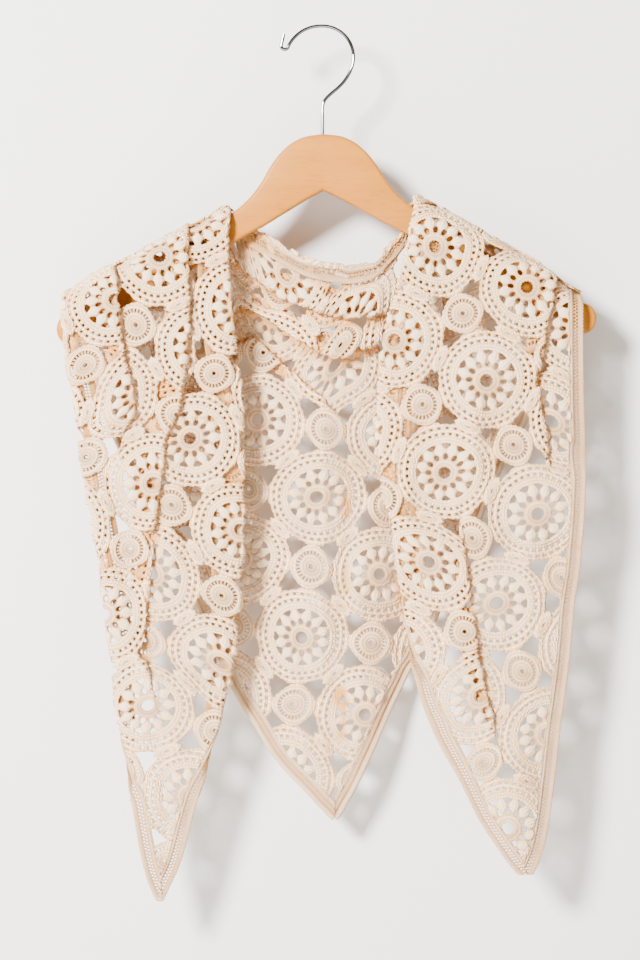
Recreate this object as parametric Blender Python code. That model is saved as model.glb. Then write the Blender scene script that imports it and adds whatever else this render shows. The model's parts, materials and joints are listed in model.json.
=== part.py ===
"""A triangular crochet lace shawl draped over a wooden hanger with a wire hook.

Metres, +Z up. The origin is the inner crown of the hook, where a rod carries it. The viewer is on the
-Y side, +X is to the right. The cloth is three stretches of one lace triangle: a tail over each arm of
the hanger and the back between them, each with a crocheted edging. A stretch is worked out from lines:
level sections for a tail, upright ones for the back. A line runs through the cloth's folds, and its arc
length gives the flat coordinates in which the lace is laid out.
"""
import math
from collections import namedtuple

import bmesh
import bpy
import numpy as np
from mathutils import Vector
from mathutils.geometry import delaunay_2d_cdt

MM = 0.001

# All sizes below are in millimetres.
GAP = 0.3
SEAM = 0.7

# Hook
WIRE = 2.8
HOOK_RADIUS = 25.6
HOOK_START = -18.0
HOOK_END = 162.0
HOOK_EASE = 4.0
CURL_RADIUS = 3.0
CURL_TAIL = 9.0
SHANK_BEND_Z = -62.0
BORE_DEPTH = 20.0
BORE_DIAMETER = WIRE + 2 * GAP

# Hanger
HANGER_TOP_Z = -88.2
HANGER_THICKNESS = 12.0
HANGER_TILT = math.radians(1.2)
HANGER_EDGE = 3.0
ARM_SLOPE = 0.594
NECK_HALF_WIDTH = 71.5
NECK_DROP = 60.4
ARM_REACH = 222.6
CROWN_Z = 7.8

# Half of the hanger from the joint to the tip: reach from the joint, upper and lower edge below its top
ArmSection = namedtuple("ArmSection", "reach top bottom")
ARM_SECTIONS = [
    ArmSection(0.0, 0.0, -46.5),
    ArmSection(14.0, -1.8, -53.6),
    ArmSection(25.6, -6.9, -60.4),
    ArmSection(35.1, -14.9, -66.0),
    ArmSection(43.6, -25.9, -71.0),
    ArmSection(52.0, -39.7, -75.8),
    ArmSection(61.1, -51.1, -80.5),
    ArmSection(71.5, -60.4, -86.4),
    ArmSection(213.0, -144.4, -168.8),
]

# Cloth
WALL = 1.4
PLEAT_PITCH = 4.0
FULL_PLEAT = 5.0
FULL_TUCK = 3.0
FOLD_ROUND = 9.0
CREST_ROUND = 14.0
CREST_FLATNESS = 0.8
TRIM_WIDTH = 12.5

# Lace: large and small rosettes take turns on a square lattice
LATTICE_PITCH = 58.0
HOLE_APEX = 29.0
HOLE_SHOULDER = 18.8
HOLE_SPREAD = math.radians(22.0)
CENTRE_HOLE = 5.2
HOLE_MARGIN = 2.6
FOLD_MARGIN = 2.2

# Grid over which a stretch is tabulated, and samples for each control point of a line
LINE_STEP = 2.0
ARC_STEP = 1.0
LINE_SAMPLES = 6
MIDDLE = 1.5
TURN = 3.5

# Mesh of a stretch
TAIL_ROWS = 23
ROW_CROWDING = 1.35
TURN_GAP = 1.2
TURN_REACH = 24.0
CREST_ROWS = 3
MIN_SPACING = 2.0
SHORTEST_RUN = 3.0
EDGING_PARTS = (0.0, 0.4, 0.8, 1.0)
PANEL_PARTS = (0.0, 0.5, 1.5, 2.5, 3.0)

# A tail's level sections, from the crest over the arm down to the tip. x runs from low to high; a fold's
# layer turns back at fold_x and runs under_x deep behind it. depth is the first layer's y.
Level = namedtuple("Level", "z low_tuck low fold_1 under_1 fold_2 under_2 high high_tuck depth bow")

LEFT_LEVELS = [
    Level(-120, 20, -214.0, -172, 17, -108, 20, -78.0, 26, -31.5, 0),
    Level(-184, 20, -214.0, -171, 17, -111, 20, -77.0, 26, -31.5, 0),
    Level(-227, 20, -212.5, -167, 17, -109, 20, -76.0, 26, -31.5, 0),
    Level(-269, 20, -210.0, -162, 16, -111, 20, -70.0, 26, -31.0, 2),
    Level(-311, 20, -203.0, -154, 9, -117, 20, -65.7, 26, -29.5, 4),
    Level(-339, 20, -199.5, -162, 1, -127.5, 20, -65.4, 26, -27.0, 5),
    Level(-379, 20, -194.0, -168, 0, -133.4, 19, -65.0, 26, -25.5, 6),
    Level(-426, 20, -185.5, -168, 0, -138.0, 17, -65.5, 26, -24.5, 7),
    Level(-460, 20, -180.5, -168, 0, -142.0, 15, -66.0, 25, -24.0, 7),
    Level(-502, 20, -175.5, -165, 0, -146.0, 9, -70.0, 22, -22.0, 7),
    Level(-549, 17, -171.0, -160, 0, -138.0, 1, -79.0, 16, -18.0, 6),
    Level(-591, 9, -163.5, -150, 0, -130.0, 0, -90.0, 8, -16.0, 5),
    Level(-618, 3.5, -159.5, -145, 0, -128.0, 0, -97.0, 2, -15.5, 3),
    Level(-645, 0, -155.5, -142, 0, -128.0, 0, -105.0, 0, -15.5, 2),
    Level(-692, 0, -146.6, -139, 0, -129.0, 0, -118.0, 0, -15.5, 1),
    Level(-709, 0, -141.0, -137, 0, -131.0, 0, -126.0, 0, -15.5, 0),
    Level(-719, 0, -136.5, -135, 0, -132.5, 0, -130.5, 0, -15.5, 0),
]

RIGHT_LEVELS = [
    Level(-120, 30, 78.5, 128, 0, 192.0, 14, 213.0, 0, -24.5, 0),
    Level(-184, 30, 69.0, 125, 0, 191.0, 14, 213.5, 0, -24.5, 0),
    Level(-207, 30, 63.0, 122, 0, 190.4, 14, 213.6, 0, -24.5, 0),
    Level(-227, 30, 57.5, 118, 0, 187.9, 14, 213.7, 0, -24.5, 0),
    Level(-254, 30, 51.6, 112, 0, 182.5, 14, 213.8, 0, -24.5, 1),
    Level(-291, 29, 46.0, 108, 0, 177.0, 13, 214.3, 0, -24.0, 3),
    Level(-311, 28, 45.2, 108, 0, 178.0, 11, 214.8, 0, -23.5, 4),
    Level(-345, 26, 45.5, 108, 0, 184.0, 5, 216.0, 0, -22.5, 5),
    Level(-375, 24, 48.5, 110, 0, 186.0, 0, 215.6, 0, -22.0, 6),
    Level(-408, 22, 56.0, 113, 1, 186.0, 0, 214.3, 0, -22.0, 6),
    Level(-442, 18, 61.0, 117, 8, 184.0, 0, 212.0, 0, -23.0, 6),
    Level(-476, 12, 66.0, 122, 11, 182.0, 0, 207.0, 0, -24.0, 6),
    Level(-515, 4, 71.5, 127, 11, 180.0, 0, 203.6, 0, -24.0, 5),
    Level(-549, 0, 79.0, 133, 8, 178.0, 0, 199.6, 0, -22.5, 4),
    Level(-583, 0, 92.0, 143, 3, 176.0, 0, 195.0, 0, -19.0, 3),
    Level(-621, 0, 112.6, 150, 0, 174.0, 0, 190.4, 0, -16.5, 2),
    Level(-654, 0, 129.3, 154, 0, 172.0, 0, 186.0, 0, -16.0, 1),
    Level(-675, 0, 143.0, 159, 0, 171.0, 0, 181.6, 0, -16.0, 0),
    Level(-687, 0, 151.5, 162, 0, 170.0, 0, 177.5, 0, -16.0, 0),
    Level(-697, 0, 160.0, 165, 0, 169.0, 0, 173.0, 0, -16.0, 0),
]

# The back's upright lines, from arm to arm. Each goes up from the sloping hem: behind a soft third fold,
# round two swags that overlap downwards, and over the rolled neck edge or the arm's crest. front is the
# upper swag's y, and roll the depth to which the neck edge hangs in front of it.
Column = namedtuple("Column", "x hem lap lap_under low_swag low_under high_swag high_under top roll "
                              "roll_y front")

BACK_COLUMNS = [
    Column(-214.0, -250, -240, 0, -236, 0, -230, 0, -221.0, 0, 0, 31.5),
    Column(-190.0, -306, -270, 0, -250, 0, -235, 0, -204.0, 0, 0, 31.0),
    Column(-160.0, -372, -290, 0, -255, 0, -225, 0, -190.0, 0, 0, 26.0),
    Column(-130.0, -430, -300, 0, -250, 0, -215, 0, -173.0, 0, 0, 23.5),
    Column(-114.0, -463, -304, 0, -246, 0, -208, 0, -165.0, 0, 0, 20.5),
    Column(-100.0, -494, -300, 1, -242, 1.2, -203, 1.2, -158.5, 0, 0, 18.0),
    Column(-86.0, -526, -292, 2.2, -237, 2.8, -197, 2.8, -151.0, 0, 0, 16.0),
    Column(-78.0, -544, -286, 3.2, -234, 4.4, -192, 4.4, -147.5, 0, 0, 15.0),
    Column(-74.0, -551, -280, 4, -233, 5, -192, 5, -146.5, 1, 10.0, 15.0),
    Column(-68.0, -562, -256, 6, -230, 8, -195, 8, -156.0, 12, 10, 14.0),
    Column(-60.0, -574, -256, 9, -231, 12, -203, 12, -163.5, 17, 9.5, 12.5),
    Column(-41.0, -604, -270, 12, -242, 16, -217, 18, -173.5, 17, 5, 7.5),
    Column(-15.0, -632, -293, 9, -259.5, 19, -229.5, 22, -189.0, 16, -1, 2.0),
    Column(0.0, -648, -306, 5, -269, 20, -235.5, 23, -193.5, 16, -3, 0.5),
    Column(10.3, -657, -318, 2, -272, 20, -238, 23, -195.0, 16, -4, 0.0),
    Column(22.0, -641, -322, 0, -270.5, 19, -239, 22, -196.0, 16, -4, 0.0),
    Column(41.0, -603, -325, 0, -263, 15, -237, 18, -192.0, 16, -1, 3.0),
    Column(58.0, -565, -325, 0, -253, 11, -234, 12, -175.5, 16, 7, 10.0),
    Column(68.0, -545, -320, 0, -248, 7, -228, 8, -166.0, 12, 10, 14.0),
    Column(74.0, -533, -313, 0, -245, 5, -222, 5, -142.5, 1, 10.5, 16.0),
    Column(78.0, -528, -310, 0, -243, 4.2, -218, 4.2, -141.0, 0, 0, 17.0),
    Column(90.0, -503, -300, 0, -240, 2.6, -209, 2.6, -144.5, 0, 0, 19.5),
    Column(104.0, -472, -294, 0, -240, 1.2, -206, 1.2, -152.5, 0, 0, 22.0),
    Column(122.0, -432, -290, 0, -240, 0, -205, 0, -162.6, 0, 0, 24.0),
    Column(150.0, -366, -280, 0, -240, 0, -215, 0, -178.5, 0, 0, 24.5),
    Column(180.0, -307, -265, 0, -244, 0, -225, 0, -195.0, 0, 0, 24.0),
    Column(200.0, -264, -247, 0, -238, 0, -229, 0, -211.5, 0, 0, 17.5),
    Column(213.0, -240, -236, 0, -232, 0, -227, 0, -219.0, 0, 0, 16.5),
]

# Lattice of each stretch: the turn of its first direction from +X and the place of one large rosette
Lattice = namedtuple("Lattice", "turn x z")
LEFT_LATTICE = Lattice(math.radians(70.0), -133.4, -191.6)
RIGHT_LATTICE = Lattice(math.radians(111.0), 134.5, -291.8)
BACK_LATTICE = Lattice(math.radians(-6.5), -3.7, -388.0)

TAIL_RUNS = 7
TAIL_ANCHOR = 3
TAIL_TOP = -100.0
PANEL_TIP_WIDTH = 3.0
TIP_ROWS = 5
BACK_RUNS = 8
BACK_PLACES = [-214, -198, -182, -166, -150, -134, -118, -102, -88, -79, -74, -71, -64, -60, -52, -41, -28,
               -15, -3, 22, 34, 46, 55, 62, 65, 71, 74, 79, 88, 102, 118, 134, 150, 166, 182, 191, 200, 213]
NECK_EDGING_END = 68.0
STEEPEST = 6.0

# Solid colours and finishes: red, green, blue, roughness, metallic
Finish = namedtuple("Finish", "red green blue roughness metallic")
LACE_FINISH = Finish(0.90, 0.82, 0.73, 0.9, 0.0)
TRIM_FINISH = Finish(0.88, 0.77, 0.66, 0.9, 0.0)
WOOD_FINISH = Finish(0.78, 0.50, 0.27, 0.45, 0.0)
WIRE_FINISH = Finish(0.75, 0.75, 0.76, 0.18, 1.0)


def clear_scene():
    for old in list(bpy.data.objects):
        bpy.data.objects.remove(old, do_unlink=True)


def finish_material(name, finish):
    material = bpy.data.materials.new(name)
    material.use_nodes = True
    shader = material.node_tree.nodes["Principled BSDF"]
    shader.inputs["Base Color"].default_value = (finish.red, finish.green, finish.blue, 1.0)
    shader.inputs["Roughness"].default_value = finish.roughness
    shader.inputs["Metallic"].default_value = finish.metallic
    return material


def mesh_object(name, vertices, faces, finish):
    """An object from vertices in millimetres."""
    mesh = bpy.data.meshes.new(name)
    mesh.from_pydata([tuple(float(c) * MM for c in v) for v in vertices], [], faces)
    mesh.materials.append(finish_material(name, finish))
    item = bpy.data.objects.new(name, mesh)
    bpy.context.collection.objects.link(item)
    return item


def smooth_table(rows, key, field, at):
    """A column of a table as a smooth curve through its rows (cubic, flat-limited slopes)."""
    rows = sorted(rows, key=lambda row: getattr(row, key))
    knots = np.array([getattr(row, key) for row in rows], float)
    values = np.array([getattr(row, field) for row in rows], float)
    steps = np.diff(knots)
    rises = np.diff(values) / steps
    slopes = np.zeros(len(knots))
    same = rises[:-1] * rises[1:] > 0
    weight_a = 2 * steps[1:] + steps[:-1]
    weight_b = steps[1:] + 2 * steps[:-1]
    safe_a = np.where(same, rises[:-1], 1.0)
    safe_b = np.where(same, rises[1:], 1.0)
    slopes[1:-1] = np.where(same, (weight_a + weight_b) / (weight_a / safe_a + weight_b / safe_b), 0.0)
    slopes[0], slopes[-1] = rises[0], rises[-1]
    at = np.clip(np.asarray(at, float), knots[0], knots[-1])
    i = np.clip(np.searchsorted(knots, at) - 1, 0, len(steps) - 1)
    t = (at - knots[i]) / steps[i]
    return ((1 + 2 * t) * (1 - t) ** 2 * values[i] + t * (1 - t) ** 2 * steps[i] * slopes[i]
            + t * t * (3 - 2 * t) * values[i + 1] - t * t * (1 - t) * steps[i] * slopes[i + 1])


def arm_top(x):
    """Height of the upper edge of the hanger's arm over x."""
    return HANGER_TOP_Z - NECK_DROP - (np.abs(x) - NECK_HALF_WIDTH) * ARM_SLOPE + x * math.tan(HANGER_TILT)


def soft_wave(x, z):
    """Slow, uneven waves of hanging cloth, in y."""
    lower = 1 / (1 + np.exp((z + 300.0) / 30.0))
    return lower * (1.9 * np.sin(x / 17.0 + z / 160.0) + 1.3 * np.sin(x / 9.5 - z / 95.0 + 1.0))


def fold_strength(under):
    """1 for a whole fold, less where it runs out."""
    return min(1.0, under / FULL_PLEAT)


def tuck_strength(tuck):
    """1 where the cloth's edge is turned under, 0 where it lies flat."""
    share = min(1.0, max(0.0, tuck / FULL_TUCK))
    return share * share * (3 - 2 * share)


def folded_line(turns, depths, anchor_run, end_round=FOLD_ROUND):
    """Points (run direction, y, arc) of a line that goes from turn to turn at the given depths.

    The arc is shifted so that it equals the place along the line on the anchor run.
    """
    control = []
    for k, depth in enumerate(depths):
        start, end = turns[k], turns[k + 1]
        step = 0.4 * (end - start)
        last = end_round if k == len(depths) - 2 else FOLD_ROUND
        near = math.copysign(min(abs(step), FOLD_ROUND), step)
        far = math.copysign(min(abs(step), last), step)
        control += [(start, depth), (start + near, depth), (end - far, depth), (end, depth)]
    control = np.array(control, float)
    pad = np.vstack([2 * control[0] - control[1], control, 2 * control[-1] - control[-2]])
    fractions = np.arange(LINE_SAMPLES) / LINE_SAMPLES
    points = []
    for i in range(len(control)):
        before, here, after = pad[i], pad[i + 1], pad[i + 2]
        left, right = (before + here) / 2, (here + after) / 2
        for t in fractions:
            points.append((1 - t) ** 2 * left + 2 * t * (1 - t) * here + t * t * right)
    points.append((pad[-1] + pad[-2]) / 2)
    points = np.array(points[LINE_SAMPLES // 2:-(LINE_SAMPLES // 2)])
    arc = np.concatenate([[0], np.cumsum(np.hypot(*np.diff(points, axis=0).T))])
    anchor = run_sample(anchor_run, MIDDLE)
    arc += points[anchor, 0] - arc[anchor]
    return np.column_stack([points, arc])


def run_sample(run, part):
    """Sample number on a line; part counts the run's four control points."""
    return int(round((4 * run + part) * LINE_SAMPLES))


class Stretch:
    """A stretch of cloth, tabulated line by line over flat coordinates.

    line_at(place) gives one line. The first flat coordinate of a tail is its arc and the second its
    level; the back has them the other way round.
    """

    def __init__(self, line_at, places, upright):
        self.places = np.array(places)
        self.upright = upright
        lines = [line_at(place) for place in places]
        self.lines = np.array(lines)
        self.low = self.lines[:, 0, 2]
        self.high = self.lines[:, -1, 2]
        first = self.low.min() - 5 * ARC_STEP
        count = int((self.high.max() - first) / ARC_STEP) + 8
        self.first_arc = first
        arcs = first + ARC_STEP * np.arange(count)
        self.table = np.zeros((len(places), count, 2))
        for i, line in enumerate(lines):
            for c in (0, 1):
                column = np.interp(arcs, line[:, 2], line[:, c])
                for end, inward, edge in ((0, 1, arcs < line[0, 2]), (-1, -1, arcs > line[-1, 2])):
                    nearby = np.interp(line[end, 2] + inward, line[:, 2], line[:, c])
                    rate = (nearby - line[end, c]) * inward
                    column = np.where(edge, line[end, c] + (arcs - line[end, 2]) * rate, column)
                self.table[i, :, c] = column

    def between(self, values, place):
        return np.interp(place, self.places, values)

    def lookup(self, place, arc):
        """Place along the line and y, for arrays of places and arcs."""
        row = np.interp(place, self.places, np.arange(len(self.places)))
        i = np.clip(row.astype(int), 0, len(self.places) - 2)
        column = np.clip((arc - self.first_arc) / ARC_STEP, 0, self.table.shape[1] - 1.001)
        j = column.astype(int)
        u, v = (row - i)[..., None], (column - j)[..., None]
        grid = self.table
        return ((1 - u) * ((1 - v) * grid[i, j] + v * grid[i, j + 1])
                + u * ((1 - v) * grid[i + 1, j] + v * grid[i + 1, j + 1]))

    def surface(self, flat):
        """Points in space of flat points (n, 2)."""
        flat = np.asarray(flat, float)
        if self.upright:
            found = self.lookup(flat[:, 0], flat[:, 1])
            x, z, y = flat[:, 0], found[:, 0], found[:, 1]
        else:
            found = self.lookup(flat[:, 1], flat[:, 0])
            x, z, y = found[:, 0], flat[:, 1], found[:, 1]
        y = y + soft_wave(x, z)
        if not self.upright:
            base = arm_top(x) - CROWN_Z
            climb = np.maximum(z - base, 0)
            angle = np.minimum(climb / (crest_length(y) / (math.pi / 2)), math.pi / 2)
            z = np.where(climb > 0, base + CREST_FLATNESS * np.abs(y) * np.sin(angle), z)
            y = y * np.cos(angle)
        return np.column_stack([x, y, z])

    def normals(self, flat):
        flat = np.asarray(flat, float)
        step = 0.4
        along = self.surface(flat + (step, 0)) - self.surface(flat - (step, 0))
        up = self.surface(flat + (0, step)) - self.surface(flat - (0, step))
        normal = np.cross(along, up)
        return normal / np.maximum(np.linalg.norm(normal, axis=1, keepdims=True), 1e-9)


def crest_length(y):
    """Length of cloth from the crown line of the arm up to the crest, for a layer at depth y."""
    return np.maximum(0.5 * (1 + CREST_FLATNESS) * np.abs(y) * math.pi / 2, 1.0)


def tail_line(levels, anchor_run, z):
    """A level section of a tail: low tuck, three layers with two folds between, high tuck."""
    value = {field: float(smooth_table(levels, "z", field, z)) for field in Level._fields}
    first = fold_strength(value["under_1"])
    second = fold_strength(value["under_2"])
    depth = value["depth"]
    middle = depth + 2 * PLEAT_PITCH * first
    last = middle + 2 * PLEAT_PITCH * second
    low_side = tuck_strength(value["low_tuck"])
    high_side = tuck_strength(value["high_tuck"])
    turns = [value["low"] + value["low_tuck"], value["low"], value["fold_1"],
             value["fold_1"] - value["under_1"], value["fold_2"], value["fold_2"] - value["under_2"],
             value["high"], value["high"] - value["high_tuck"]]
    depths = [depth + PLEAT_PITCH * low_side, depth, depth + PLEAT_PITCH * first, middle,
              middle + PLEAT_PITCH * second, last, last + PLEAT_PITCH * high_side]
    line = folded_line(turns, depths, anchor_run)
    half = (value["high"] - value["low"]) / 2
    across = (line[:, 0] - value["low"] - half) / max(half, 1.0)
    line[:, 1] += value["bow"] * (across ** 2 - 0.5)
    return line


def back_line(x):
    """An upright line of the back, from the hem up to the neck edge or the arm's crest."""
    value = {field: float(smooth_table(BACK_COLUMNS, "x", field, x)) for field in Column._fields}
    lap = fold_strength(value["lap_under"])
    low = fold_strength(value["low_under"])
    high = fold_strength(value["high_under"])
    front = value["front"]
    middle = front + 2 * PLEAT_PITCH * high
    recess = middle + 2 * PLEAT_PITCH * low
    panel = recess - 2 * PLEAT_PITCH * lap
    turns = [value["hem"], value["lap"], value["lap"] - value["lap_under"],
             value["low_swag"] + value["low_under"], value["low_swag"],
             value["high_swag"] + value["high_under"], value["high_swag"],
             value["top"], value["top"] - value["roll"]]
    depths = [panel, panel + PLEAT_PITCH * lap, recess, recess - PLEAT_PITCH * low, middle,
              middle - PLEAT_PITCH * high, front, value["roll_y"] + GAP]
    return folded_line(turns, depths, 0, CREST_ROUND)


def lattice_points(lattice, low, high):
    """Flat centres of the large and small rosettes inside a box."""
    along = np.array([math.cos(lattice.turn), math.sin(lattice.turn)])
    across = np.array([-along[1], along[0]])
    reach = int(np.hypot(*(np.array(high) - low)) / LATTICE_PITCH) + 2
    large, small = [], []
    for m in range(-reach, reach + 1):
        for n in range(-reach, reach + 1):
            centre = np.array([lattice.x, lattice.z]) + LATTICE_PITCH * (m * along + n * across)
            if np.all(centre > low) and np.all(centre < high):
                (large if (m + n) % 2 == 0 else small).append(centre)
    return large, small, along


def lace_holes(lattice, low, high):
    """Outlines of the gaps between the rosettes, then of the large rosettes' centres."""
    large, small, along = lattice_points(lattice, low, high)
    turn = math.atan2(along[1], along[0])
    holes = []
    for centre in small:
        for quarter in range(4):
            middle = turn + math.pi / 4 + quarter * math.pi / 2
            corners = ((HOLE_APEX, 0.0), (HOLE_SHOULDER, HOLE_SPREAD), (HOLE_SHOULDER, -HOLE_SPREAD))
            holes.append([centre + r * np.array([math.cos(middle + a), math.sin(middle + a)])
                          for r, a in corners])
    for centre in large:
        holes.append([centre + CENTRE_HOLE * np.array([math.cos(a), math.sin(a)])
                      for a in (turn + np.arange(4) * math.pi / 2)])
    return [np.array(hole) for hole in holes]


def inside(points, polygon):
    """Which of the points lie in a polygon."""
    x, y = points[:, 0], points[:, 1]
    result = np.zeros(len(points), bool)
    for (ax, ay), (bx, by) in zip(polygon, np.roll(polygon, -1, axis=0)):
        crosses = (ay > y) != (by > y)
        slope = (bx - ax) / (by - ay) if by != ay else 0.0
        result ^= crosses & (x < ax + (y - ay) * slope)
    return result


def edge_distance(points, start, end):
    """Distance of points from a segment."""
    along = end - start
    t = np.clip((points - start) @ along / max(along @ along, 1e-9), 0, 1)
    return np.hypot(*(points - start - t[:, None] * along).T)


def path_distance(points, path):
    return np.min([edge_distance(points, a, b) for a, b in zip(path[:-1], path[1:])], axis=0)


def kept_holes(grid, folds, live, holes, rim):
    """Holes that stay clear of the rim and of the folds that are there."""
    rim_path = np.vstack([rim, rim[:1]])
    kept = []
    for hole in holes:
        if not inside(hole, rim).all() or path_distance(hole, rim_path).min() < HOLE_MARGIN:
            continue
        ring = np.vstack([hole, (hole + np.roll(hole, -1, axis=0)) / 2])
        clear = True
        for k, c in enumerate(folds):
            near = grid[live[:, k], c]
            if len(near) > 1:
                clear &= path_distance(ring, near).min() > FOLD_MARGIN and not inside(near, hole).any()
        if clear:
            kept.append(hole)
    return kept


def triangulate(grid, folds, holes):
    """Flat vertices and triangles of a sheet.

    grid is rows x columns x 2. folds are the columns of the turns, whose live stretches stay edges: those
    with cloth on both sides. Holes that come near the rim or a live fold are left out.
    """
    rows, columns = grid.shape[:2]
    rim = np.vstack([grid[0], grid[1:, -1], grid[-1, -2::-1], grid[-2:0:-1, 0]])
    stops = grid[:, [0] + list(folds) + [columns - 1]]
    runs = np.linalg.norm(np.diff(stops, axis=1), axis=2)
    live = (runs[:, :-1] > SHORTEST_RUN) & (runs[:, 1:] > SHORTEST_RUN)
    kept = kept_holes(grid, folds, live, holes, rim)
    loops = [np.vstack([hole, hole[:1]]) for hole in kept]
    vertices = []
    number = -np.ones((rows, columns), int)
    for r in range(rows):
        ends = r in (0, rows - 1)
        fixed = [0, columns - 1] + [c for k, c in enumerate(folds) if live[r, k]]
        others = [c for c in range(columns) if c not in fixed]
        for c in fixed + others:
            point = grid[r, c]
            placed = grid[r, number[r] >= 0]
            spacing = MIN_SPACING if c in others else SHORTEST_RUN / 3
            if len(placed) and np.hypot(*(placed - point).T).min() < spacing and c != columns - 1:
                continue
            if c in others and not ends and any(
                    inside(point[None], hole)[0] or path_distance(point[None], loop)[0] < MIN_SPACING
                    for hole, loop in zip(kept, loops)):
                continue
            number[r, c] = len(vertices)
            vertices.append(point)
    edges = []
    for c in (0, columns - 1):
        edges += list(zip(number[:-1, c], number[1:, c]))
    for k, c in enumerate(folds):
        for r in range(rows - 1):
            if live[r, k] and live[r + 1, k] and min(number[r, c], number[r + 1, c]) >= 0:
                edges.append((number[r, c], number[r + 1, c]))
    for r in (0, rows - 1):
        marks = [number[r, c] for c in range(columns) if number[r, c] >= 0]
        edges += list(zip(marks[:-1], marks[1:]))
    for hole in kept:
        first = len(vertices)
        vertices += list(hole)
        edges += [(first + k, first + (k + 1) % len(hole)) for k in range(len(hole))]
    edges = [(int(a), int(b)) for a, b in edges]
    result = delaunay_2d_cdt([Vector(v) for v in vertices], edges, [], 0, 1e-5)
    flat = np.array([tuple(v) for v in result[0]])
    triangles = np.array(result[2])
    middles = flat[triangles].mean(axis=1)
    keep = inside(middles, rim)
    for hole in kept:
        keep &= ~inside(middles, hole)
    return flat, triangles[keep]


def walled_sheet(name, stretch, flat, triangles, finish):
    """A wall of the cloth's thickness on a flat triangulation laid over the stretch."""
    used = np.unique(triangles)
    renumber = -np.ones(len(flat), int)
    renumber[used] = np.arange(len(used))
    flat, triangles = flat[used], renumber[triangles]
    middle, normal = stretch.surface(flat), stretch.normals(flat)
    vertices = np.vstack([middle + normal * WALL / 2, middle - normal * WALL / 2])
    count = len(flat)
    faces = [tuple(t) for t in triangles] + [tuple(t[::-1] + count) for t in triangles]
    borders = {}
    for a, b, c in triangles:
        for start, end in ((a, b), (b, c), (c, a)):
            borders[(start, end)] = True
    for start, end in borders:
        if (end, start) not in borders:
            faces.append((end, start, start + count))
            faces.append((end, start + count, end + count))
    item = mesh_object(name, vertices, [tuple(int(v) for v in face) for face in faces], finish)
    shape = bmesh.new()
    shape.from_mesh(item.data)
    if shape.calc_volume(signed=True) < 0:
        bmesh.ops.reverse_faces(shape, faces=shape.faces)
        shape.to_mesh(item.data)
    shape.free()
    item.data.shade_smooth()
    return item


def column_arc(stretch, place, mark):
    """Arc of a sample number along the line at a place."""
    return stretch.between(stretch.lines[:, mark, 2], place)


def panel_marks(runs):
    """Sample numbers along a line of so many runs, and which of them are turns."""
    marks, folds = [], []
    for run in range(runs):
        marks += [run_sample(run, part) for part in PANEL_PARTS]
        if run < runs - 1:
            folds.append(len(marks))
            marks.append(run_sample(run, TURN))
    return marks, folds


def edge_stretch(stretch, place, side):
    """How much longer a width is along the line than square to the edge, where the edge is steep."""
    ends = stretch.low if side == "low" else stretch.high
    run = 4.0
    slope = (stretch.between(ends, place + run) - stretch.between(ends, place - run)) / (2 * run)
    return math.sqrt(1 + min(slope * slope, STEEPEST))


def edging_width(stretch, place, side):
    """Width of the edging measured along the line at a place, up to the middle of a narrow line."""
    span = stretch.between(stretch.high, place) - stretch.between(stretch.low, place)
    return min(TRIM_WIDTH * edge_stretch(stretch, place, side), span / 2 - GAP / 2)


def level_of(stretch, arc_at, low, over_crest):
    """Level at which a column of a tail reaches the arm's crown line, or the crest over it."""
    high = TAIL_TOP
    for _ in range(30):
        z = (low + high) / 2
        x, y = stretch.lookup(np.array([z]), np.array([arc_at(z)]))[0]
        top = arm_top(x) - CROWN_Z
        if over_crest:
            top += crest_length(y + soft_wave(x, z)) - GAP / 2
        if z < top:
            low = z
        else:
            high = z
    return low


def panel_tip(stretch):
    """Level at which the lace starts between the two edgings."""
    for z in stretch.places:
        span = stretch.between(stretch.high, z) - stretch.between(stretch.low, z)
        edgings = TRIM_WIDTH * (edge_stretch(stretch, z, "low") + edge_stretch(stretch, z, "high"))
        if span > edgings + PANEL_TIP_WIDTH:
            return float(z)


def turn_level(levels, end):
    """Level at which the seam of an edging comes round the tucked edge on its side."""
    rows = sorted(levels, key=lambda level: level.z)
    for below, above in zip(rows[:-1], rows[1:]):
        tucks = getattr(below, end + "_tuck"), getattr(above, end + "_tuck")
        if tucks[0] <= TRIM_WIDTH < tucks[1]:
            return float(np.interp(TRIM_WIDTH, tucks, (below.z, above.z)))
    return TAIL_TOP


def tail_grid(stretch, start, first_rows, arcs):
    """Rows of a tail from the lace's tip over the arm's crest; each of arcs gives a column's arc at a level.

    first_rows are rows below start, the same for every column.
    """
    columns = []
    for arc_at in arcs:
        crown = level_of(stretch, arc_at, start, False)
        crest = level_of(stretch, arc_at, start, True)
        levels = list(first_rows)
        levels += list(start + (crown - start) * np.linspace(0, 1, TAIL_ROWS) ** ROW_CROWDING)
        levels += list(np.linspace(crown, crest, CREST_ROWS + 1)[1:])
        columns.append([(arc_at(z), z) for z in levels])
    return np.array(columns).transpose(1, 0, 2)


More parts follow.
